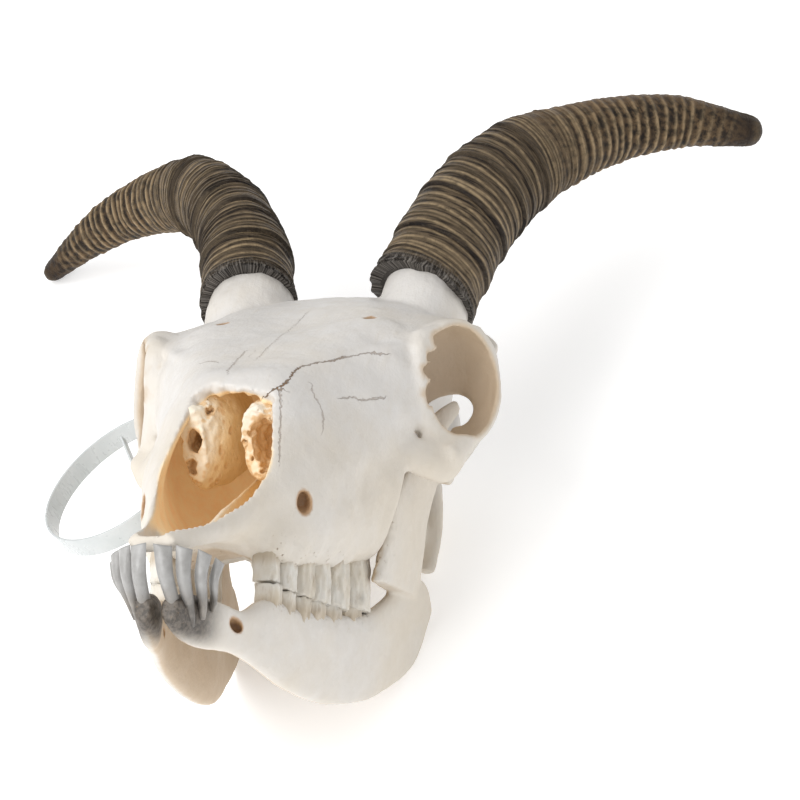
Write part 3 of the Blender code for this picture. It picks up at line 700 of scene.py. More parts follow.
def cranium_pieces():
    pieces = [swept("core", CORE, core_ring), swept("shield", SHIELD, shield_ring)]
    pieces.append(tube("nuchal_crest", NUCHAL_CREST, Vector((0, 1, 0))))
    for side in (1, -1):
        eye = Vector((side * ORBIT_CENTRE.x, ORBIT_CENTRE.y, ORBIT_CENTRE.z))
        rim = [(x + ORBIT_SHIFT[side], *rest) for x, *rest in mirrored(ORBIT_RIM, side)]
        pieces.append(tube("orbit_rim", rim, lambda p, eye=eye: p - eye, closed=True))
        middle, faces = at_side(ORBIT_CUP[0], side), at_side(ORBIT_FACES, side)
        pieces.append(flattened(blob("orbit_cup", middle, ORBIT_CUP[1]), middle, faces, ORBIT_OPENS))
        pieces.append(tube("cheek_bone", mirrored(CHEEK_BONE, side)))
        pieces.append(tube("arch", arch_rows(side)))
        pieces.append(tube("temporal_wall", mirrored(TEMPORAL_WALL, side), Vector((0, 1, 0))))
        pieces.append(tube("pterygoid", mirrored(PTERYGOID, side)))
        end = (*PARACONDYLAR[-1][:2], PARACONDYLAR_TIP[side], *PARACONDYLAR[-1][3:])
        trimmed = [*PARACONDYLAR[:-1], end]
        pieces.append(tube("paracondylar", mirrored(trimmed, side)))
        pedicle = [(x + side * PEDICLE_OUTWARDS[side], *rest) for x, *rest in mirrored(PEDICLE, side)]
        pieces.append(tube("pedicle", pedicle))
        pieces.append(blob("bulla", at_side(BULLA[0], side), BULLA[1]))
        pieces.append(blob("condyle", at_side(CONDYLE[0], side), CONDYLE[1]))
    return pieces


def ragged(cutter, where, scale, reach, seed):
    """Roughens part of a cutter, so that the edge it leaves is a broken one."""
    points = points_of(cutter)
    share = where(points)
    inside = np.flatnonzero(share > 0.01)
    shift = ripple(points[inside], scale, seed=seed, octaves=4) * reach * share[inside]
    points[inside] += normals_of(cutter)[inside] * shift[:, None]
    move_points(cutter, points)


def nose_opening():
    """The opening's outline, swept down into the nose and up out of it."""
    left = [Vector(p) for p in flow(NOSE_RIM, 13)]
    right = [Vector((-p.x, p.y, p.z)) for p in reversed(left)]
    outline = [*left, *[Vector(p) for p in NOSE_BREAK], *right]
    return skin("nose_opening", [[p + NOSE_FACES * reach for p in outline] for reach in (-7, 34)])


def nose_edge(points):
    """The broken upper edge of the nose's opening."""
    return smooth_step(72, 76, points[:, 1]) * smooth_step(53, 58, points[:, 2])


def nose_cutter():
    cavity = swept("cavity", CAVITY, core_ring)
    cutter = fuse("nose_cutter", [cavity, nose_opening()], grain=0.6, smoothing=1)
    ragged(cutter, nose_edge, scale=0.3, reach=1.8, seed=1)
    return cutter


def brow_edge(points):
    """The edge of the forehead over the eye socket, which is the part that is broken."""
    share = smooth_step(149, 143, points[:, 1]) * smooth_step(66, 72, points[:, 2])
    return share * smooth_step(102, 97, points[:, 2])


def eye_cutter():
    blobs = []
    for side in (1, -1):
        for centre, radii in (ORBIT_HOLLOW, ORBIT_WINDOW):
            blobs.append(blob("orbit_hollow", at_side(centre, side), radii))
        room = [(x, y, z, wide + ROOM_WIDE, high + ROOM_LONG) for x, y, z, wide, high in CORONOID]
        blobs.append(tube("coronoid_room", mirrored(room, side)))
    cutter = fuse("eye_cutter", blobs, grain=0.7, smoothing=1)
    ragged(cutter, brow_edge, scale=0.22, reach=5.0, seed=4)
    return cutter


def hole_cutter():
    holes = []
    for side in (1, -1):
        holes.append(tube("infraorbital_canal", mirrored(INFRAORBITAL, side)))
        holes.append(tube("brow_canal", mirrored(BROW_CANAL, side)))
    return fuse("hole_cutter", holes, grain=0.45, smoothing=1)


def base_cutter():
    hollows = [blob("hollow", *hollow) for hollow in (FORAMEN_MAGNUM, CHOANA, PALATE_VAULT)]
    for side in (1, -1):
        hollows.append(blob("palatine_fissure", at_side(PALATINE_FISSURE[0], side), PALATINE_FISSURE[1]))
    return fuse("base_cutter", hollows, grain=0.9, smoothing=1)


def pressed(bone, points):
    """How far the face is pressed in, or swells, on the camera's side and on its twin."""
    tree = tree_of(bone)
    moved = np.zeros(len(points))
    for u, v, reach, depth in FACE_PRESSES:
        place = seen_at(tree, u, v)
        if place is None:
            continue
        for side in (1, -1):
            away = points - np.array((side * place.x, place.y, place.z))
            moved -= depth * np.exp(-(away**2).sum(1) / reach**2)
    return moved


def seam_offsets(points, outward, lines):
    """For each point, how far it is to the left or right of the nearest seam, and how bold that seam is."""
    offset, bold = np.full(len(points), 9.0), np.zeros(len(points))
    nearest = np.full(len(points), 81.0)
    for strength, rows in lines:
        line = flow(rows, 8 * len(rows))
        for a, b in zip(line[:-1], line[1:]):
            along = b - a
            share = np.clip((points - a) @ along / (along @ along), 0, 1)
            away = points - a - share[:, None] * along
            square = (away**2).sum(1)
            closer = square < nearest
            side = np.sign(np.einsum("ij,ij->i", np.cross(along, away), outward))
            nearest[closer] = square[closer]
            offset[closer] = (side * np.sqrt(square))[closer]
            bold[closer] = strength
    return np.clip(offset, -4, 4), bold * (nearest < 9)


def make_cranium():
    bone = fuse("cranium_bone", cranium_pieces(), grain=GRAIN, smoothing=4)
    cutters = {"nose": nose_cutter(), "eye": eye_cutter(), "hole": hole_cutter(), "base": base_cutter()}
    for cutter in cutters.values():
        carve(bone, cutter)
    keep_largest(knit(bone, grain=FINE, smoothing=2))
    points, outward = points_of(bone), normals_of(bone)
    relief = 0.55 * ripple(points, 0.045, seed=2, octaves=2) + 0.16 * ripple(points, 0.22, seed=3, octaves=3)
    relief += pressed(bone, points)
    socket = smooth_step(17, 6, points[:, 2]) * smooth_step(56, 62, points[:, 1])
    socket *= smooth_step(142, 136, points[:, 1])
    roots = np.sin(points[:, 1] * 0.62 + 0.8 * ripple(points, 0.05, seed=6, octaves=2))
    relief += socket * (0.35 * roots + 0.3 * ripple(points, 0.5, seed=5, octaves=3))
    move_points(bone, points + outward * relief[:, None])
    thin(bone, MOST_TRIANGLES["cranium"])
    points = points_of(bone)
    cutters["cavity"] = swept("cavity", CAVITY, core_ring)
    deep = {name: distances(tree_of(cutter), points, most=4.0) for name, cutter in cutters.items()}
    # The ochre lining of the nose; the material also makes it glow a little, as painted light.
    paint(bone, "ochre", smooth_step(1.6, 0.3, deep["cavity"]))
    paint(bone, "hole", smooth_step(1.0, 0.2, deep["hole"]))
    # Painted shade: the walls of the eye sockets and of the openings under the skull are painted a darker
    # tan.
    recess_shade = [0.8 * smooth_step(2.2, 0.4, deep[name]) for name in ("eye", "base")]
    paint(bone, "tan_shade", np.maximum(*recess_shade))
    paint(bone, "pitted", smooth_step(14, 5, points[:, 2]) * smooth_step(56, 62, points[:, 1]))
    paint(bone, "chin_shadow", np.zeros(len(points)))
    tree = tree_of(bone)
    seams = [(strength, [seen_at(tree, u, v) for u, v in places]) for strength, places in SEAMS]
    seams = [(strength, [place for place in places if place is not None]) for strength, places in seams]
    offset, bold = seam_offsets(points, normals_of(bone), [*seams, MIDDLE_SEAM])
    paint(bone, "seam", offset)
    paint(bone, "seam_bold", bold)
    low, outer = smooth_step(70, 40, points[:, 2]), smooth_step(40, 60, abs(points[:, 0]))
    paint(bone, "warm", low * 0.6 + outer * 0.5)
    drop(*cutters.values())
    return bone


def jaw_ring(row):
    y, x, top, bottom, thick = row
    middle, half, wide = 0.5 * (top + bottom), 0.5 * (top - bottom), 0.5 * thick
    ring = []
    for a in np.linspace(0, math.tau, 48, endpoint=False):
        dx, dz = wide * round_off(math.cos(a), 0.8), half * round_off(math.sin(a), 0.8)
        keel = 0.5 - 0.5 * dz / half
        ring.append((x * (1 - 0.09 * keel) + dx * (1 - 0.3 * keel), y, middle + dz))
    return ring


def ramus_ring(row):
    x, front, z, back, thick = row
    middle, half = 0.5 * (front + back), 0.5 * (back - front)
    turns = np.linspace(0, math.tau, 48, endpoint=False)
    blunt = [(round_off(math.cos(a), 0.6), round_off(math.sin(a), 0.8)) for a in turns]
    return [(x + 0.5 * thick * u, middle + half * w, z) for u, w in blunt]


def play_of(side):
    swing, slide = JAW_PLAY[side]
    middle = Matrix.Translation((0, 15, 0))
    return Matrix.Translation(slide) @ middle @ Matrix.Rotation(swing, 4, "Z") @ middle.inverted()


def make_jaw(name, side):
    body = skin("body", [jaw_ring((row[0], side * row[1], *row[2:])) for row in between(JAW_BODY, 2)])
    rows = [(row[2], row[0], row[1], row[3], row[4]) for row in RAMUS]
    filled = [(x, front, z, back, thick) for z, x, front, back, thick in between(rows, 3)]
    ramus = skin("ramus", [ramus_ring(row) for row in mirrored(filled, side)])
    pieces = [body, ramus, tube("condyle", mirrored(JAW_CONDYLE, side), Vector((0, 1, 0)))]
    pieces.append(tube("coronoid", mirrored(CORONOID, side)))
    jaw = fuse(name, pieces, grain=JAW_GRAIN, smoothing=5)
    cutter = fuse("chin_canal", [tube("chin_canal", mirrored(CHIN_CANAL, side))], grain=0.45, smoothing=1)
    carve(jaw, cutter)
    keep_largest(knit(jaw, grain=JAW_GRAIN, smoothing=2))
    points, outward = points_of(jaw), normals_of(jaw)
    relief = 0.35 * ripple(points, 0.05, seed=11 + side, octaves=2)
    relief += 0.1 * ripple(points, 0.25, seed=12, octaves=3)
    chin = smooth_step(26, 12, points[:, 1])
    relief += (chin * 0.1 + rim_of(points, -15) * 0.35) * ripple(points, 0.45, seed=13, octaves=4)
    move_points(jaw, points + outward * relief[:, None])
    thin(jaw, MOST_TRIANGLES["jaw"])
    points = points_of(jaw)
    deep = distances(tree_of(cutter), points, most=3.0)
    inner = smooth_step(0.2, -0.5, side * normals_of(jaw)[:, 0])
    paint(jaw, "ochre", np.zeros(len(points)))
    paint(jaw, "hole", smooth_step(1.0, 0.2, deep))
    paint(jaw, "seam", np.full(len(points), 4.0))
    paint(jaw, "seam_bold", np.zeros(len(points)))
    # Painted shade: the inner face of the jaw half is painted a darker tan.
    paint(jaw, "tan_shade", inner * 0.9)
    paint(jaw, "pitted", rim_of(points, -16) + 0.4 * smooth_step(24, 14, points[:, 1]))
    # Painted shadow: the underside of the chin, near its front, is painted nearly black.
    paint(jaw, "chin_shadow", smooth_step(34, 18, points[:, 1]) * smooth_step(-33, -26, points[:, 2]))
    paint(jaw, "warm", 0.45 + 0.4 * smooth_step(120, 175, points[:, 1]))
    drop(cutter)
    jaw.data.transform(play_of(side))
    return jaw


def rim_of(points, low):
    """The rim of the jaw that holds the cheek teeth, from the height low up."""
    level = smooth_step(low, low + 5, points[:, 2])
    return level * smooth_step(52, 60, points[:, 1]) * smooth_step(140, 134, points[:, 1])


# ---- teeth ------------------------------------------------------------------------------------


def cheek_tooth(name, centre, length, width, top, bottom, seed):
    """A tall crown of two lobes, with sharp upright folds and a worn, uneven edge."""
    shares = np.linspace(0, 1, 22)
    turns = np.linspace(0, math.tau, 72, endpoint=False)
    rings = []
    for share in shares:
        swell = 0.84 + 0.16 * math.sin(min(1, share * 1.3) * math.pi / 2)
        ring = []
        for a in turns:
            x = 0.5 * width * swell * round_off(math.cos(a), 0.55)
            y = 0.5 * length * round_off(math.sin(a), 0.75) * (0.93 + 0.07 * share)
            fold = math.exp(-((y / length) / 0.05) ** 2)
            fold += 0.8 * math.exp(-((abs(y / length) - 0.45) / 0.05) ** 2)
            groove = math.cos(4 * math.pi * y / length)
            x *= 1 + 0.11 * fold - 0.09 * groove
            wear = 1.0 * share**6 * math.cos(4 * math.pi * y / length + 0.6)
            z = top + (bottom - top) * share + math.copysign(wear, bottom - top)
            jitter = 0.12 * noise.noise(Vector((x * 0.6 + seed, y * 1.4, z * 0.25)))
            ring.append((centre.x + x * (1 + jitter), centre.y + y * (1 + 0.4 * jitter), z))
        rings.append(ring)
    return skin(name, rings)


def cheek_teeth(name, side, row, bites, up):
    line = np.array(row, float)
    scale = (line[-1, 1] - line[0, 1]) / sum(size[0] for size in CHEEK_TEETH)
    place = line[0, 1]
    teeth = []
    for i, (length, width) in enumerate(CHEEK_TEETH):
        length *= scale
        y = place + 0.5 * length
        place += length
        outer, root = np.interp(y, line[:, 1], line[:, 0]), np.interp(y, line[:, 1], line[:, 2])
        centre = Vector((side * (outer - 0.5 * width), y, 0))
        top, seed = root + SOCKET_DEPTH * up, i + 3 * up
        teeth.append(cheek_tooth(f"tooth_{i}", centre, length * TOOTH_SHARE, width, top, bites[i], seed))
    whole = joined(name, teeth)
    shade_teeth(whole, row, up)
    if up < 0:
        whole.data.transform(play_of(side))
    return whole


def shade_teeth(obj, row, up):
    points, line = points_of(obj), np.array(row, float)
    root = np.interp(points[:, 1], line[:, 1], line[:, 2])
    paint(obj, "neck", smooth_step(3.0, -1.0, up * (root - points[:, 2])))


def incisor(name, root, tip, width, side):
    """A long blade, bowed forwards: round at the root, wide and thin at a slanted tip."""
    root, tip = Vector(at_side(root, side)), Vector(at_side(tip, side))
    middle = root.lerp(tip, 0.55) + Vector((0, -INCISOR_BOW, -0.8))
    start = root + (root - tip) * 0.3
    rows = (
        (*start, 0.22 * width, 1.6),
        (*root, 0.32 * width, 2.1),
        (*middle, 0.42 * width, 1.8),
        (*tip, 0.5 * width, 0.8),
    )
    line = flow(rows, 40)
    centres = [Vector(row[:3]) for row in line]
    rings = []
    for i, row in enumerate(line):
        along = heading(centres, i)
        across = square_to(along, Vector((1, side * 0.06 * abs(root.x), 0)))
        out = along.cross(across)
        if out.y > 0:
            out = -out
        share = i / (len(line) - 1)
        ring = []
        for a in np.linspace(0, math.tau, 40, endpoint=False):
            u, w = math.cos(a), math.sin(a)
            hollow = -0.9 * share * (1 - u * u) * max(0, -w) * row[4]
            lift = 0.9 * share**8 * (1 - 0.8 * (side * u + 1)) if share > 0.5 else 0
            thickness = row[4] * w - hollow - 0.55 * share * u * u * row[4]
            place = centres[i] + across * (row[3] * u) + out * thickness
            ring.append(place + along * lift)
        rings.append(ring)
    return skin(name, rings)


def make_incisors(name, side):
    teeth = []
    for i, (root, tip, width) in enumerate(INCISORS):
        tooth = incisor(f"incisor_{i}", root, tip, width, side)
        points = points_of(tooth)
        start, end = Vector(at_side(root, side)), Vector(at_side(tip, side))
        share = (points - np.array(start)) @ np.array(end - start) / (end - start).length_squared
        paint(tooth, "neck", smooth_step(0.55, 0.0, share))
        teeth.append(tooth)
    whole = joined(name, teeth)
    whole.data.transform(play_of(side))
    return whole


# ---- horns ------------------------------------------------------------------------------------


def make_horn(name, rows, seed):
    """A sheath of stacked growth rings: crowded and torn at the base, bold ribs above, then smooth."""
    rng = np.random.default_rng(seed)
    count, around = ((620, 120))
    line = flow(rows, count)
    centres = line[:, :3]
    steps = np.linalg.norm(np.diff(centres, axis=0), axis=1)
    length = np.concatenate([[0], np.cumsum(steps)])
    total = length[-1]
    turns = np.linspace(0, math.tau, around, endpoint=False)
    across = Vector((rows[0][0], 0, 0)).normalized()
    frames = []
    for i in range(count):
        along = Vector(centres[min(i + 1, count - 1)] - centres[max(i - 1, 0)]).normalized()
        across = square_to(along, across)
        frames.append((along, across, along.cross(across)))
    s = np.repeat(length[:, None], around, axis=1)
    a = np.repeat(turns[None, :], count, axis=0)

    def wave(reach, most):
        """A smooth closed line round the horn, as each ring runs."""
        found = np.zeros_like(a)
        for k in range(1, most + 1):
            found += rng.normal() * np.cos(k * a + rng.uniform(0, math.tau)) / k**1.2
        return reach * found

    def weathering(fine_round, fine_along, away):
        """Smooth noise over the sheath, at one fineness round it and another along it."""
        circle = [(math.cos(t) * fine_round, math.sin(t) * fine_round) for t in turns]
        places = [[Vector((x, y, v * fine_along + away)) for x, y in circle] for v in length]
        return np.array([[noise.fractal(place, 0.8, 2.0, 3) for place in row] for row in places])

    share = s / total
    slant = 2.5 * np.cos(a - HORN_BEND) * (1 - share)
    height = np.zeros_like(s)
    crest = np.zeros_like(s)
    groove = np.zeros_like(s)
    place = 1.5
    while place < CROWDED_TO * total:
        gap = rng.uniform(*CROWDED_GAP)
        bold = rng.uniform(0.15, 1.0) ** 1.6
        at = place + slant + wave(0.55, 5)
        off = s - at
        fade = smooth_step(0.66, 0.5, place / total)
        step = fade * bold * 0.75 * np.exp(-np.clip(off, 0, None) / 2.2) * (off > 0)
        height += step * np.clip(1 - off / 9, 0, 1)
        groove = np.maximum(groove, fade * bold * np.exp(-(off / 0.42) ** 2))
        crest = np.maximum(crest, fade * rng.uniform(0.2, 1) * np.exp(-((off - 0.9) / 0.7) ** 2))
        place += gap
    place = RIBS_FROM * total
    side_mask = 0.5 + 0.5 * np.cos(a - HORN_BEND - math.pi)
    while place < RIBS_TO * total:
        gap = rng.uniform(*RIB_GAP)
        at = place + 1.6 * np.cos(a - HORN_BEND) + wave(0.5, 6)
        off = s - at
        fade = smooth_step(0.44, 0.56, place / total) * smooth_step(1.02, 0.8, place / total)
        strength = fade * (0.25 + 0.75 * side_mask**0.7) * rng.uniform(0.7, 1)
        height += strength * 0.95 * np.exp(-(off / 1.15) ** 2)
        crest = np.maximum(crest, strength * np.exp(-(off / 0.85) ** 2))
        groove = np.maximum(groove, strength * 0.85 * np.exp(-((off + 0.5 * gap) / (0.26 * gap)) ** 2))
        place += gap
    for grown in GROWTH_STEPS:
        off = s - (grown + 0.012 * rng.normal()) * total - slant - wave(0.6, 3)
        height += 1.3 * np.exp(-np.clip(off, 0, None) / 5) * (off > 0) - 0.5 * np.exp(-(off / 0.8) ** 2)
        groove = np.maximum(groove, 0.9 * np.exp(-(off / 0.6) ** 2))
    fine = weathering(2.2, 0.9, seed)
    broad = weathering(1.1, 0.06, -seed)
    height += 0.18 * fine + 0.5 * broad
    height -= 0.9
    frayed = smooth_step(7, 0, s)
    height += frayed * (0.8 + 0.9 * fine)
    points = np.empty((count, around, 3))
    for i, (along, across, up) in enumerate(frames):
        wide, high = line[i, 3], line[i, 4]
        cosine, sine = np.cos(turns), np.sin(turns)
        out = cosine[:, None] * np.array(across) * wide + sine[:, None] * np.array(up) * high
        unit = out / np.linalg.norm(out, axis=1)[:, None]
        points[i] = centres[i] + out + unit * height[i][:, None]
        if length[i] < 4:
            torn = (4 - length[i]) / 4 * (0.8 + 1.6 * fine[i] + 1.2 * broad[i])
            points[i] -= np.array(along) * torn[:, None]
    rings = [list(map(tuple, ring)) for ring in points]
    base = centres[0] + np.array(frames[0][0]) * 2.5
    rings.insert(0, [tuple(base + (np.array(p) - base) * 0.8) for p in rings[0]])
    along, across, up = frames[-1]
    tip = Vector(centres[-1])
    extra = ((0.93, 0.28), (0.8, 0.5), (0.6, 0.66), (0.35, 0.76), (0.12, 0.8))
    last = np.array(rings[-1])
    for shrink, reach in extra:
        middle = np.array(tip + along * reach * line[-1, 3])
        rings.append([tuple(middle + (p - centres[-1]) * shrink) for p in last])
    horn = skin(name, rings)

    def spread(values, first, end):
        capped = np.repeat(values[-1:], len(extra), axis=0) * 0 + end
        return np.vstack([values[:1] * 0 + first, values, capped]).ravel()

    paint(horn, "crest", spread(crest, 0, 0.2))
    # The grooves between rings, where the material paints shade.
    paint(horn, "groove", spread(groove, 1, 0.3))
    paint(horn, "frayed", spread(frayed, 1, 0))
    paint(horn, "along", spread(share, 0, 1))
    paint(horn, "shaded", spread(side_mask, 0.5, 0.5))
    layer = horn.data.uv_layers.new(name="UVMap")
    corners = np.empty(len(horn.data.loops), np.int32)
    horn.data.loops.foreach_get("vertex_index", corners)
    grown_along = np.concatenate([[0], length, length[-1] + np.arange(1, 6) * 1.5])
    angle = (corners % around) / around
    starts = np.empty(len(horn.data.polygons), np.int32)
    totals = np.empty(len(horn.data.polygons), np.int32)
    horn.data.polygons.foreach_get("loop_start", starts)
    horn.data.polygons.foreach_get("loop_total", totals)
    owner = np.repeat(np.arange(len(starts)), totals)
    low = np.full(len(starts), 9.0)
    high = np.full(len(starts), -9.0)
    np.minimum.at(low, owner, angle)
    np.maximum.at(high, owner, angle)
    wraps = (high - low)[owner] > 0.5
    angle = np.where(wraps & (angle < 0.5), angle + 1, angle)
    flat = np.column_stack([angle * 110, grown_along[corners // around]])
    layer.data.foreach_set("uv", (flat * 0.01).astype(np.float32).ravel())
    return horn


# ---- inside of the nose -----------------------------------------------------------------------


def make_scroll(name, side):
    """A fold of thin bone, broken off at the front, where its channels and its crumb of cells show."""
    rng = np.random.default_rng(40 + side)
    path, channels, crumbs = SCROLLS[side]
    body = fuse("scroll_body", [tube("scroll_body", path, steps=10, count=48)], grain=0.6, smoothing=2)
    points, outward = points_of(body), normals_of(body)
    relief = 0.9 * ripple(points, 0.09, seed=21 + side, octaves=2)
    relief += 0.25 * ripple(points, 0.35, seed=22, octaves=3)
    front = smooth_step(path[1][1], path[0][1] - 2, points[:, 1])
    relief += front * 1.1 * ripple(points, 0.3, seed=23, octaves=3)
    move_points(body, points + outward * relief[:, None])
    holes = [tube("channel", rows, Vector((1, 0, 0))) for rows in channels]
    for x, y, z, rx, ry, rz in crumbs:
        for _ in range(CELLS):
            at = rng.uniform(-1, 1, 3)
            r = rng.uniform(0.45, 0.85)
            holes.append(blob("cell", (x + at[0] * rx, y + at[1] * ry, z + at[2] * rz), (r, 1.6 * r, r)))
    tree = tree_of(body)
    for _ in range(PORES):
        a = rng.uniform(0, math.tau)
        back = path[0][1] + rng.uniform(-2, 12)
        at = Vector((path[0][0] + 9 * math.cos(a), back, path[0][2] + 15 * math.sin(a)))
        hit = tree.find_nearest(at)[0]
        r = rng.uniform(0.3, 0.6)
        holes.append(blob("pore", hit, (r, 1.3 * r, 1.8 * r)))
    cutter = fuse("scroll_cutter", holes, grain=0.35, smoothing=0)
    ragged(cutter, lambda p: np.ones(len(p)), scale=0.3, reach=1.1, seed=9)
    carve(body, cutter)
    knit(body, grain=0.42, smoothing=1)
    thin(keep_largest(body), MOST_TRIANGLES["scroll"])
    points = points_of(body)
    deep = distances(tree_of(cutter), points, most=2.5)
    paint(body, "deep", smooth_step(0.8, 0.1, deep))
    front = smooth_step(path[0][1] + 8, path[0][1] - 1, points[:, 1])
    paint(body, "pale", np.clip(front * 0.9, 0, 1))
    drop(cutter)
    body.name = body.data.name = name
    return body


def make_plate(name):
    rings = []
    for y in np.linspace(50, 118, 30):
        low, high = np.interp(y, *PLATE_LOW), np.interp(y, *PLATE_HIGH)
        lean, thick = np.interp(y, *PLATE_LEAN), np.interp(y, *PLATE_THICK)
        ring = []
        for a in np.linspace(0, math.tau, 32, endpoint=False):
            up = 0.5 + 0.5 * math.sin(a)
            foot = 1 + 3.0 * (1 - up) ** 3
            ring.append((lean * (up - 0.4) + thick * foot * math.cos(a), y, low + (high - low) * up))
        rings.append(ring)
    plate = knit(skin(name, rings), grain=0.6, smoothing=2)
    points = points_of(plate)
    move_points(plate, points + normals_of(plate) * (0.4 * ripple(points, 0.12, seed=31, octaves=3))[:, None])
    paint(plate, "deep", np.zeros(len(points)))
    paint(plate, "pale", smooth_step(92, 60, points[:, 1]) * 0.7)
    return thin(plate, MOST_TRIANGLES["plate"])


# ---- tag --------------------------------------------------------------------------------------


def make_tag(name):
    """A flat loop of clear white plastic with the end of its strap hanging inside it."""
    deselect()
    bpy.ops.mesh.primitive_cylinder_add(vertices=192, radius=1, depth=TAG_WIDE, end_fill_type="NOTHING")
    loop = bpy.context.object
    short = TAG_AXIS.cross(TAG_LONG)
    place = Matrix((
        (*TAG_LONG * TAG_HALF[0], 0),
        (*short * TAG_HALF[1], 0),
        (*TAG_AXIS, 0),
        (0, 0, 0, 1),
    )).transposed()
    place.translation = TAG_MIDDLE
    loop.data.transform(place)
    line = [Vector(p) for p in flow(TAG_TAIL, 40)]
    rings = []
    for i, point in enumerate(line):
        half = square_to(heading(line, i), TAG_AXIS) * TAG_TAIL_HALF
        rings.append([point + half, point - half])
    points = [p for ring in rings for p in ring]
    faces = [(2 * i, 2 * i + 1, 2 * i + 3, 2 * i + 2) for i in range(39)]
    mesh = bpy.data.meshes.new("tail")
    mesh.from_pydata([tuple(p) for p in points], [], faces)
    tail = bpy.data.objects.new("tail", mesh)
    bpy.context.scene.collection.objects.link(tail)
    for obj in (loop, tail):
        wall = obj.modifiers.new("wall", "SOLIDIFY")
        wall.thickness = TAG_WALL
        wall.offset = 0
        edge = obj.modifiers.new("edge", "BEVEL")
        edge.width = TAG_ROUNDED
        edge.segments = 3
        edge.angle_limit = math.radians(50)
        apply_all(obj)
        shape = bmesh.new()
        shape.from_mesh(obj.data)
        bmesh.ops.recalc_face_normals(shape, faces=shape.faces)
        shape.to_mesh(obj.data)
        shape.free()
    return joined(name, (tail, loop))


# ---- finishes ---------------------------------------------------------------------------------


def new_group(name, inputs, outputs):
    group = bpy.data.node_groups.new(name, "ShaderNodeTree")
    for label, kind, value in inputs:
        socket = group.interface.new_socket(label, in_out="INPUT", socket_type=kind)
        if value is not None:
            socket.default_value = value
    for label, kind in outputs:
        group.interface.new_socket(label, in_out="OUTPUT", socket_type=kind)
    return group, group.nodes.new("NodeGroupInput"), group.nodes.new("NodeGroupOutput")


def node(tree, kind, values=None, **settings):
    made = tree.nodes.new(kind)
    for key, value in settings.items():
        setattr(made, key, value)
    for key, value in (values or {}).items():
        made.inputs[key].default_value = value
    return made


def speckle_group():
    """Fine noise, and small pits, at a size given in millimetres."""
    inputs = (
        ("Vector", "NodeSocketVector", None),
        ("Size", "NodeSocketFloat", 2.0),
        ("Stretch", "NodeSocketVector", (1, 1, 1)),
    )
    outputs = (("Grain", "NodeSocketFloat"), ("Pits", "NodeSocketFloat"))
    group, start, end = new_group("speckle", inputs, outputs)
    link = group.links.new
    scale = node(group, "ShaderNodeMath", {0: 1000.0}, operation="DIVIDE")
    link(start.outputs["Size"], scale.inputs[1])
    stretch = node(group, "ShaderNodeVectorMath", operation="MULTIPLY")
    link(start.outputs["Vector"], stretch.inputs[0])
    link(start.outputs["Stretch"], stretch.inputs[1])
    grain = node(group, "ShaderNodeTexNoise", {"Detail": 4.0, "Roughness": 0.6})
    link(stretch.outputs[0], grain.inputs["Vector"])
    link(scale.outputs[0], grain.inputs["Scale"])
    pits = node(group, "ShaderNodeTexVoronoi", feature="F1")
    link(stretch.outputs[0], pits.inputs["Vector"])
    link(scale.outputs[0], pits.inputs["Scale"])
    limits = {"From Min": 0.08, "From Max": 0.3, "To Min": 1.0, "To Max": 0.0}
    near = node(group, "ShaderNodeMapRange", limits)
    link(pits.outputs["Distance"], near.inputs["Value"])
    link(grain.outputs["Fac"], end.inputs["Grain"])
    link(near.outputs["Result"], end.inputs["Pits"])
    return group


def new_material(name):
    material = bpy.data.materials.new(name)
    material.use_nodes = True
    tree = material.node_tree
    place = node(tree, "ShaderNodeTexCoord").outputs["Object"]
    return material, tree, tree.nodes["Principled BSDF"], place


def attribute(tree, name):
    return node(tree, "ShaderNodeAttribute", attribute_name=name, attribute_type="GEOMETRY").outputs["Fac"]


def mix(tree, share, first, second):
    """Mixes two colours, each a colour or a socket, by a number or a socket."""
    made = node(tree, "ShaderNodeMix", data_type="RGBA")
    for key, value in ((0, share), (6, first), (7, second)):
        if isinstance(value, bpy.types.NodeSocket):
            tree.links.new(value, made.inputs[key])
        elif key:
            made.inputs[key].default_value = (*value, 1)
        else:
            made.inputs[key].default_value = value
    return made.outputs[2]


def maths(tree, operation, *values, clamp=False):
    made = node(tree, "ShaderNodeMath", operation=operation, use_clamp=clamp)
    for i, value in enumerate(values):
        if isinstance(value, bpy.types.NodeSocket):
            tree.links.new(value, made.inputs[i])
        else:
            made.inputs[i].default_value = value
    return made.outputs[0]


def ranged(tree, value, low, high, first=0.0, last=1.0):
    limits = {"From Min": low, "From Max": high, "To Min": first, "To Max": last}
    made = node(tree, "ShaderNodeMapRange", limits)
    tree.links.new(value, made.inputs["Value"])
    return made.outputs["Result"]


def speckle(tree, group, vector, size, stretch=(1, 1, 1)):
    made = node(tree, "ShaderNodeGroup", node_tree=group)
    tree.links.new(vector, made.inputs["Vector"])
    made.inputs["Size"].default_value = size
    made.inputs["Stretch"].default_value = stretch
    return made.outputs["Grain"], made.outputs["Pits"]


def tinted(tree, colour, name, strength, tint):
    """The colour with the tint laid over it, as strongly as the painted attribute says."""
    return mix(tree, maths(tree, "MULTIPLY", attribute(tree, name), strength), colour, tint)


def coat(tree, shader, colour, rough):
    """Gives the shader its colour and how rough it is."""
    tree.links.new(colour, shader.inputs["Base Color"])
    tree.links.new(rough, shader.inputs["Roughness"])


def bump(tree, shader, layers, distance):
    """Feeds the sum of the layers, each a height and its share, to the shader's normal."""
    total = None
    for height, share in layers:
        part = maths(tree, "MULTIPLY", height, share)
        total = part if total is None else maths(tree, "ADD", total, part)
    made = node(tree, "ShaderNodeBump", {"Strength": 1.0, "Distance": distance})
    tree.links.new(total, made.inputs["Height"])
    tree.links.new(made.outputs["Normal"], shader.inputs["Normal"])


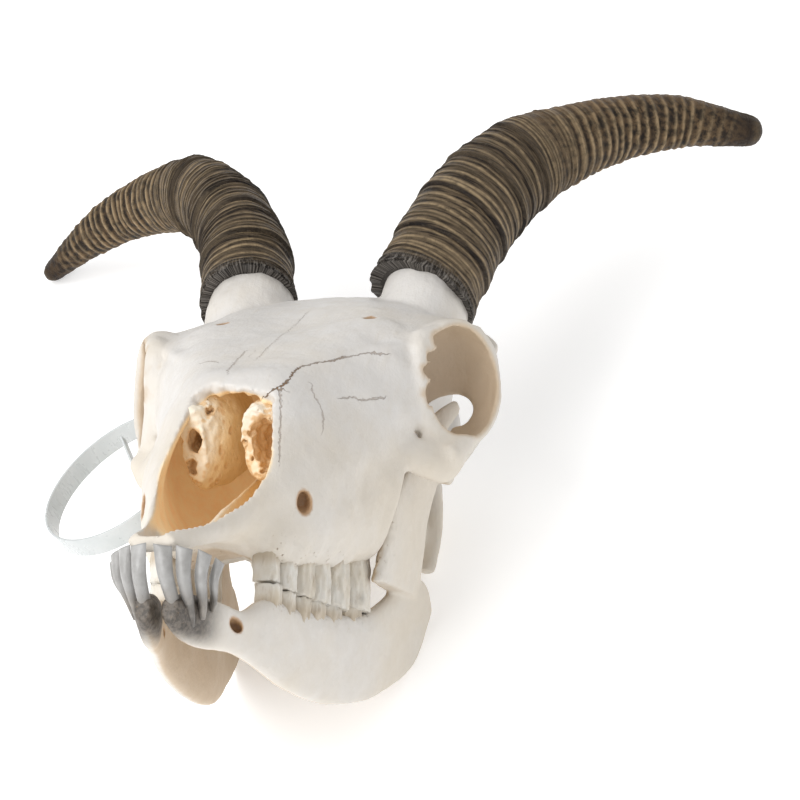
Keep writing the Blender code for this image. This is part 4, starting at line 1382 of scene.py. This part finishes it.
def bone_finish(group):
    material, tree, shader, place = new_material("bleached_bone")
    patches, _ = speckle(tree, group, place, size=38.0)
    mottle, _ = speckle(tree, group, place, size=7.0)
    fibres, _ = speckle(tree, group, place, size=2.2, stretch=(1.0, 0.22, 0.35))
    dust, pits = speckle(tree, group, place, size=1.5)
    cloud = ranged(tree, patches, 0.35, 0.7, -0.25, 0.45)
    warm = maths(tree, "ADD", attribute(tree, "warm"), cloud, clamp=True)
    colour = mix(tree, warm, (0.70, 0.675, 0.645), (0.69, 0.625, 0.53))
    colour = mix(tree, ranged(tree, mottle, 0.4, 0.75, 0.0, 0.2), colour, (0.62, 0.565, 0.49))
    colour = mix(tree, ranged(tree, fibres, 0.52, 0.75, 0.0, 0.2), colour, (0.60, 0.53, 0.43))
    # Painted shade, in a darker tan, where the attribute says.
    colour = tinted(tree, colour, "tan_shade", 0.9, (0.55, 0.41, 0.26))
    ochre = mix(tree, ranged(tree, mottle, 0.35, 0.65), (0.90, 0.64, 0.34), (0.94, 0.77, 0.50))
    colour = tinted(tree, colour, "ochre", 0.95, ochre)
    # Painted light: the ochre lining of the nose glows a little, though it is no lamp, in place of light
    # coming through its thin bone.
    painted_glow = mix(tree, attribute(tree, "ochre"), (0.0, 0.0, 0.0), (0.56, 0.40, 0.22))
    tree.links.new(painted_glow, shader.inputs["Emission Color"])
    shader.inputs["Emission Strength"].default_value = 0.2
    colour = tinted(tree, colour, "hole", 0.85, (0.42, 0.23, 0.09))
    # Painted shadow: near-black on the underside of the chin, where the attribute says.
    chin_shadow_colour = mix(tree, ranged(tree, dust, 0.4, 0.62), (0.030, 0.023, 0.018), (0.12, 0.098, 0.078))
    colour = tinted(tree, colour, "chin_shadow", 0.94, chin_shadow_colour)
    wander = ranged(tree, dust, 0.3, 0.7, -0.55, 0.55)
    off = maths(tree, "ABSOLUTE", maths(tree, "ADD", attribute(tree, "seam"), wander))
    line = ranged(tree, off, 0.12, 0.42, 1.0, 0.0)
    seam = maths(tree, "MULTIPLY", line, attribute(tree, "seam_bold"), clamp=True)
    colour = mix(tree, seam, colour, (0.26, 0.15, 0.075))
    holes = maths(tree, "MULTIPLY", pits, ranged(tree, mottle, 0.5, 0.62), clamp=True)
    holes = maths(tree, "MULTIPLY", holes, maths(tree, "ADD", attribute(tree, "pitted"), 0.03), clamp=True)
    colour = mix(tree, maths(tree, "MULTIPLY", holes, 0.7), colour, (0.40, 0.26, 0.14))
    coat(tree, shader, colour, ranged(tree, mottle, 0.3, 0.7, 0.42, 0.6))
    layers = ((mottle, 0.5), (fibres, 0.35), (dust, 0.2), (holes, -0.8), (seam, -1.2))
    bump(tree, shader, layers, distance=0.0007)
    return material


def tooth_finish(group):
    material, tree, shader, place = new_material("tooth_enamel")
    patches, _ = speckle(tree, group, place, size=9.0)
    fibres, pits = speckle(tree, group, place, size=1.6, stretch=(1.0, 0.3, 0.3))
    colour = mix(tree, ranged(tree, patches, 0.35, 0.7), (0.72, 0.69, 0.63), (0.64, 0.57, 0.46))
    colour = tinted(tree, colour, "neck", 0.6, (0.42, 0.32, 0.20))
    colour = mix(tree, ranged(tree, fibres, 0.55, 0.75, 0.0, 0.5), colour, (0.36, 0.27, 0.17))
    coat(tree, shader, colour, ranged(tree, patches, 0.3, 0.7, 0.3, 0.5))
    bump(tree, shader, ((fibres, 0.7), (patches, 0.3), (pits, -0.15)), distance=0.0005)
    return material


def incisor_finish(group):
    material, tree, shader, place = new_material("front_tooth_in_painted_shade")
    patches, _ = speckle(tree, group, place, size=6.0)
    fibres, _ = speckle(tree, group, place, size=1.4, stretch=(1.0, 0.3, 0.3))
    neck = attribute(tree, "neck")
    # Painted shade: the front teeth are painted a mid grey, far darker than their enamel, for the shade they
    # lie in, and darker still towards the root.
    colour = mix(tree, ranged(tree, patches, 0.35, 0.7), (0.40, 0.395, 0.385), (0.28, 0.272, 0.26))
    dark = mix(tree, ranged(tree, patches, 0.4, 0.6), (0.10, 0.085, 0.070), (0.27, 0.225, 0.175))
    shade = maths(tree, "MULTIPLY", neck, ranged(tree, patches, 0.25, 0.6, 1.0, 0.55), clamp=True)
    colour = mix(tree, shade, colour, dark)
    coat(tree, shader, colour, ranged(tree, fibres, 0.3, 0.7, 0.25, 0.45))
    bump(tree, shader, ((fibres, 0.5), (patches, 0.3)), distance=0.0004)
    return material


def scroll_finish(group):
    material, tree, shader, place = new_material("nose_bone")
    patches, _ = speckle(tree, group, place, size=14.0)
    mottle, pits = speckle(tree, group, place, size=2.2)
    cloud = ranged(tree, patches, 0.4, 0.7, -0.15, 0.2)
    pale = maths(tree, "ADD", attribute(tree, "pale"), cloud, clamp=True)
    colour = mix(tree, pale, (0.88, 0.69, 0.42), (0.88, 0.82, 0.71))
    colour = mix(tree, ranged(tree, mottle, 0.45, 0.75, 0.0, 0.3), colour, (0.82, 0.63, 0.38))
    colour = tinted(tree, colour, "deep", 0.85, (0.74, 0.50, 0.26))
    coat(tree, shader, colour, ranged(tree, mottle, 0.3, 0.7, 0.45, 0.65))
    holes = maths(tree, "MULTIPLY", pits, ranged(tree, patches, 0.45, 0.6), clamp=True)
    bump(tree, shader, ((mottle, 0.5), (patches, 0.4), (holes, -0.4)), distance=0.0006)
    return material


def horn_finish(group):
    material, tree, shader, place = new_material("ringed_horn")
    uv = node(tree, "ShaderNodeTexCoord").outputs["UV"]
    patches, _ = speckle(tree, group, place, size=16.0)
    mottle, _ = speckle(tree, group, place, size=3.0)
    lines, _ = speckle(tree, group, uv, size=12.0, stretch=(0.12, 1.6, 1.0))
    threads, _ = speckle(tree, group, uv, size=10.0, stretch=(1.6, 0.3, 1.0))
    along = attribute(tree, "along")
    base = mix(tree, ranged(tree, lines, 0.42, 0.58), (0.010, 0.007, 0.005), (0.125, 0.090, 0.056))
    tip = mix(tree, ranged(tree, mottle, 0.42, 0.6), (0.014, 0.009, 0.005), (0.175, 0.112, 0.058))
    colour = mix(tree, ranged(tree, along, 0.4, 0.6), base, tip)
    colour = mix(tree, ranged(tree, patches, 0.4, 0.7, 0.0, 0.35), colour, (0.060, 0.046, 0.035))
    upper_side = ranged(tree, attribute(tree, "shaded"), 0.45, 0.15)
    upper_side = maths(tree, "MULTIPLY", upper_side, ranged(tree, along, 0.4, 0.55))
    colour = mix(tree, maths(tree, "MULTIPLY", upper_side, 0.7), colour, (0.17, 0.108, 0.058))
    end = ranged(tree, along, 0.88, 0.99)
    colour = mix(tree, maths(tree, "MULTIPLY", end, 0.8), colour, (0.030, 0.020, 0.014))
    worn = ranged(tree, mottle, 0.3, 0.6, 0.35, 1.0)
    crest = maths(tree, "MULTIPLY", attribute(tree, "crest"), worn, clamp=True)
    colour = mix(tree, maths(tree, "MULTIPLY", crest, 0.85), colour, (0.46, 0.34, 0.20))
    # Painted shade: the grooves between the rings are painted nearly black, more in some patches than in
    # others.
    patchy_groove_shade = ranged(tree, mottle, 0.25, 0.55, 0.6, 1.0)
    groove = maths(tree, "MULTIPLY", attribute(tree, "groove"), patchy_groove_shade, clamp=True)
    colour = mix(tree, maths(tree, "MULTIPLY", groove, 0.92), colour, (0.012, 0.009, 0.008))
    fray = mix(tree, ranged(tree, threads, 0.45, 0.62), (0.014, 0.012, 0.011), (0.22, 0.20, 0.18))
    colour = tinted(tree, colour, "frayed", 0.9, fray)
    coat(tree, shader, colour, ranged(tree, mottle, 0.3, 0.7, 0.38, 0.62))
    shader.inputs["Specular IOR Level"].default_value = 0.15
    bump(tree, shader, ((lines, 0.6), (threads, 0.35), (mottle, 0.4)), distance=0.0012)
    return material


def tag_finish(group):
    material, tree, shader, place = new_material("clear_white_plastic")
    haze, _ = speckle(tree, group, place, size=12.0)
    scuffs, _ = speckle(tree, group, place, size=2.0, stretch=(0.3, 1.0, 0.3))
    colour = mix(tree, ranged(tree, haze, 0.35, 0.65), (0.60, 0.63, 0.63), (0.67, 0.69, 0.69))
    coat(tree, shader, colour, ranged(tree, scuffs, 0.3, 0.7, 0.22, 0.4))
    shader.inputs["Transmission Weight"].default_value = 0.1
    shader.inputs["IOR"].default_value = 1.46
    bump(tree, shader, ((scuffs, 0.3), (haze, 0.3)), distance=0.0003)
    return material


def floor_finish(group):
    material, tree, shader, place = new_material("pale_floor")
    haze, _ = speckle(tree, group, place, size=60.0)
    colour = mix(tree, ranged(tree, haze, 0.3, 0.7), (0.955, 0.955, 0.955), (0.965, 0.965, 0.965))
    tree.links.new(colour, shader.inputs["Base Color"])
    shader.inputs["Roughness"].default_value = 0.9
    shader.inputs["Specular IOR Level"].default_value = 0.0
    shader.inputs["Emission Color"].default_value = (1, 1, 1, 1)
    shader.inputs["Emission Strength"].default_value = 0.34
    return material


# ---- light and camera -------------------------------------------------------------------------


def make_camera():
    data = bpy.data.cameras.new("camera")
    data.lens = LENS
    data.sensor_width = SENSOR
    data.clip_start, data.clip_end = 0.05, 50
    camera = bpy.data.objects.new("camera", data)
    turn = Matrix((CAMERA_RIGHT, CAMERA_UP, CAMERA_BACK)).transposed()
    camera.matrix_world = Matrix.Translation(CAMERA_PLACE) @ turn.to_4x4()
    bpy.context.scene.collection.objects.link(camera)
    bpy.context.scene.camera = camera


def area_light(name, place, aim, size, power, colour=(1, 1, 1)):
    data = bpy.data.lights.new(name, "AREA")
    data.shape = "DISK"
    data.size = size
    data.energy = power
    data.color = colour
    light = bpy.data.objects.new(name, data)
    light.location = place
    light.rotation_euler = (Vector(place) - Vector(aim)).to_track_quat("Z", "Y").to_euler()
    bpy.context.scene.collection.objects.link(light)


def make_studio(group):
    deselect()
    bpy.ops.mesh.primitive_plane_add(size=9.0, location=(0, 0, 0))
    floor = bpy.context.object
    floor.name = floor.data.name = "floor"
    floor.data.materials.append(floor_finish(group))
    world = bpy.data.worlds.new("studio")
    world.use_nodes = True
    world.node_tree.nodes["Background"].inputs["Color"].default_value = (1, 1, 1, 1)
    world.node_tree.nodes["Background"].inputs["Strength"].default_value = 0.66
    bpy.context.scene.world = world
    area_light("overhead", (-0.6, -0.5, 1.35), (0, -0.02, 0.06), size=1.1, power=9)
    area_light("front", (-0.35, -1.25, 1.0), (0, -0.06, 0.1), size=0.7, power=8)
    bpy.context.scene.view_settings.view_transform = "Standard"
    bpy.context.scene.view_settings.look = "None"


def main():
    group = speckle_group()
    bone, tooth = bone_finish(group), tooth_finish(group)
    front_tooth, scroll = incisor_finish(group), scroll_finish(group)
    horn, plastic = horn_finish(group), tag_finish(group)
    finish_piece(make_cranium(), bone, "bone", "cranium")
    for side, word in ((1, "left"), (-1, "right")):
        finish_piece(make_jaw(f"jaw_{word}", side), bone, "bone", f"mandible_{word}")
        upper = cheek_teeth(f"upper_teeth_{word}", side, UPPER_ROW, UPPER_BITE, 1)
        lower = cheek_teeth(f"lower_teeth_{word}", side, LOWER_ROW, LOWER_BITE, -1)
        finish_piece(upper, tooth, "bone")
        finish_piece(lower, tooth, "bone")
        finish_piece(make_incisors(f"front_teeth_{word}", side), front_tooth, "bone")
        finish_piece(make_scroll(f"nose_scroll_{word}", side), scroll, "inner_bone", f"concha_{word}")
    finish_piece(make_horn("sheath_left", HORN_LEFT, 7), horn, "horn", "horn_left")
    finish_piece(make_horn("sheath_right", HORN_RIGHT, 19), horn, "horn", "horn_right")
    finish_piece(make_plate("nose_plate"), scroll, "inner_bone", "vomer")
    finish_piece(make_tag("tag_loop"), plastic, "plastic", "tag_band")
    make_camera()
    make_studio(group)


main()
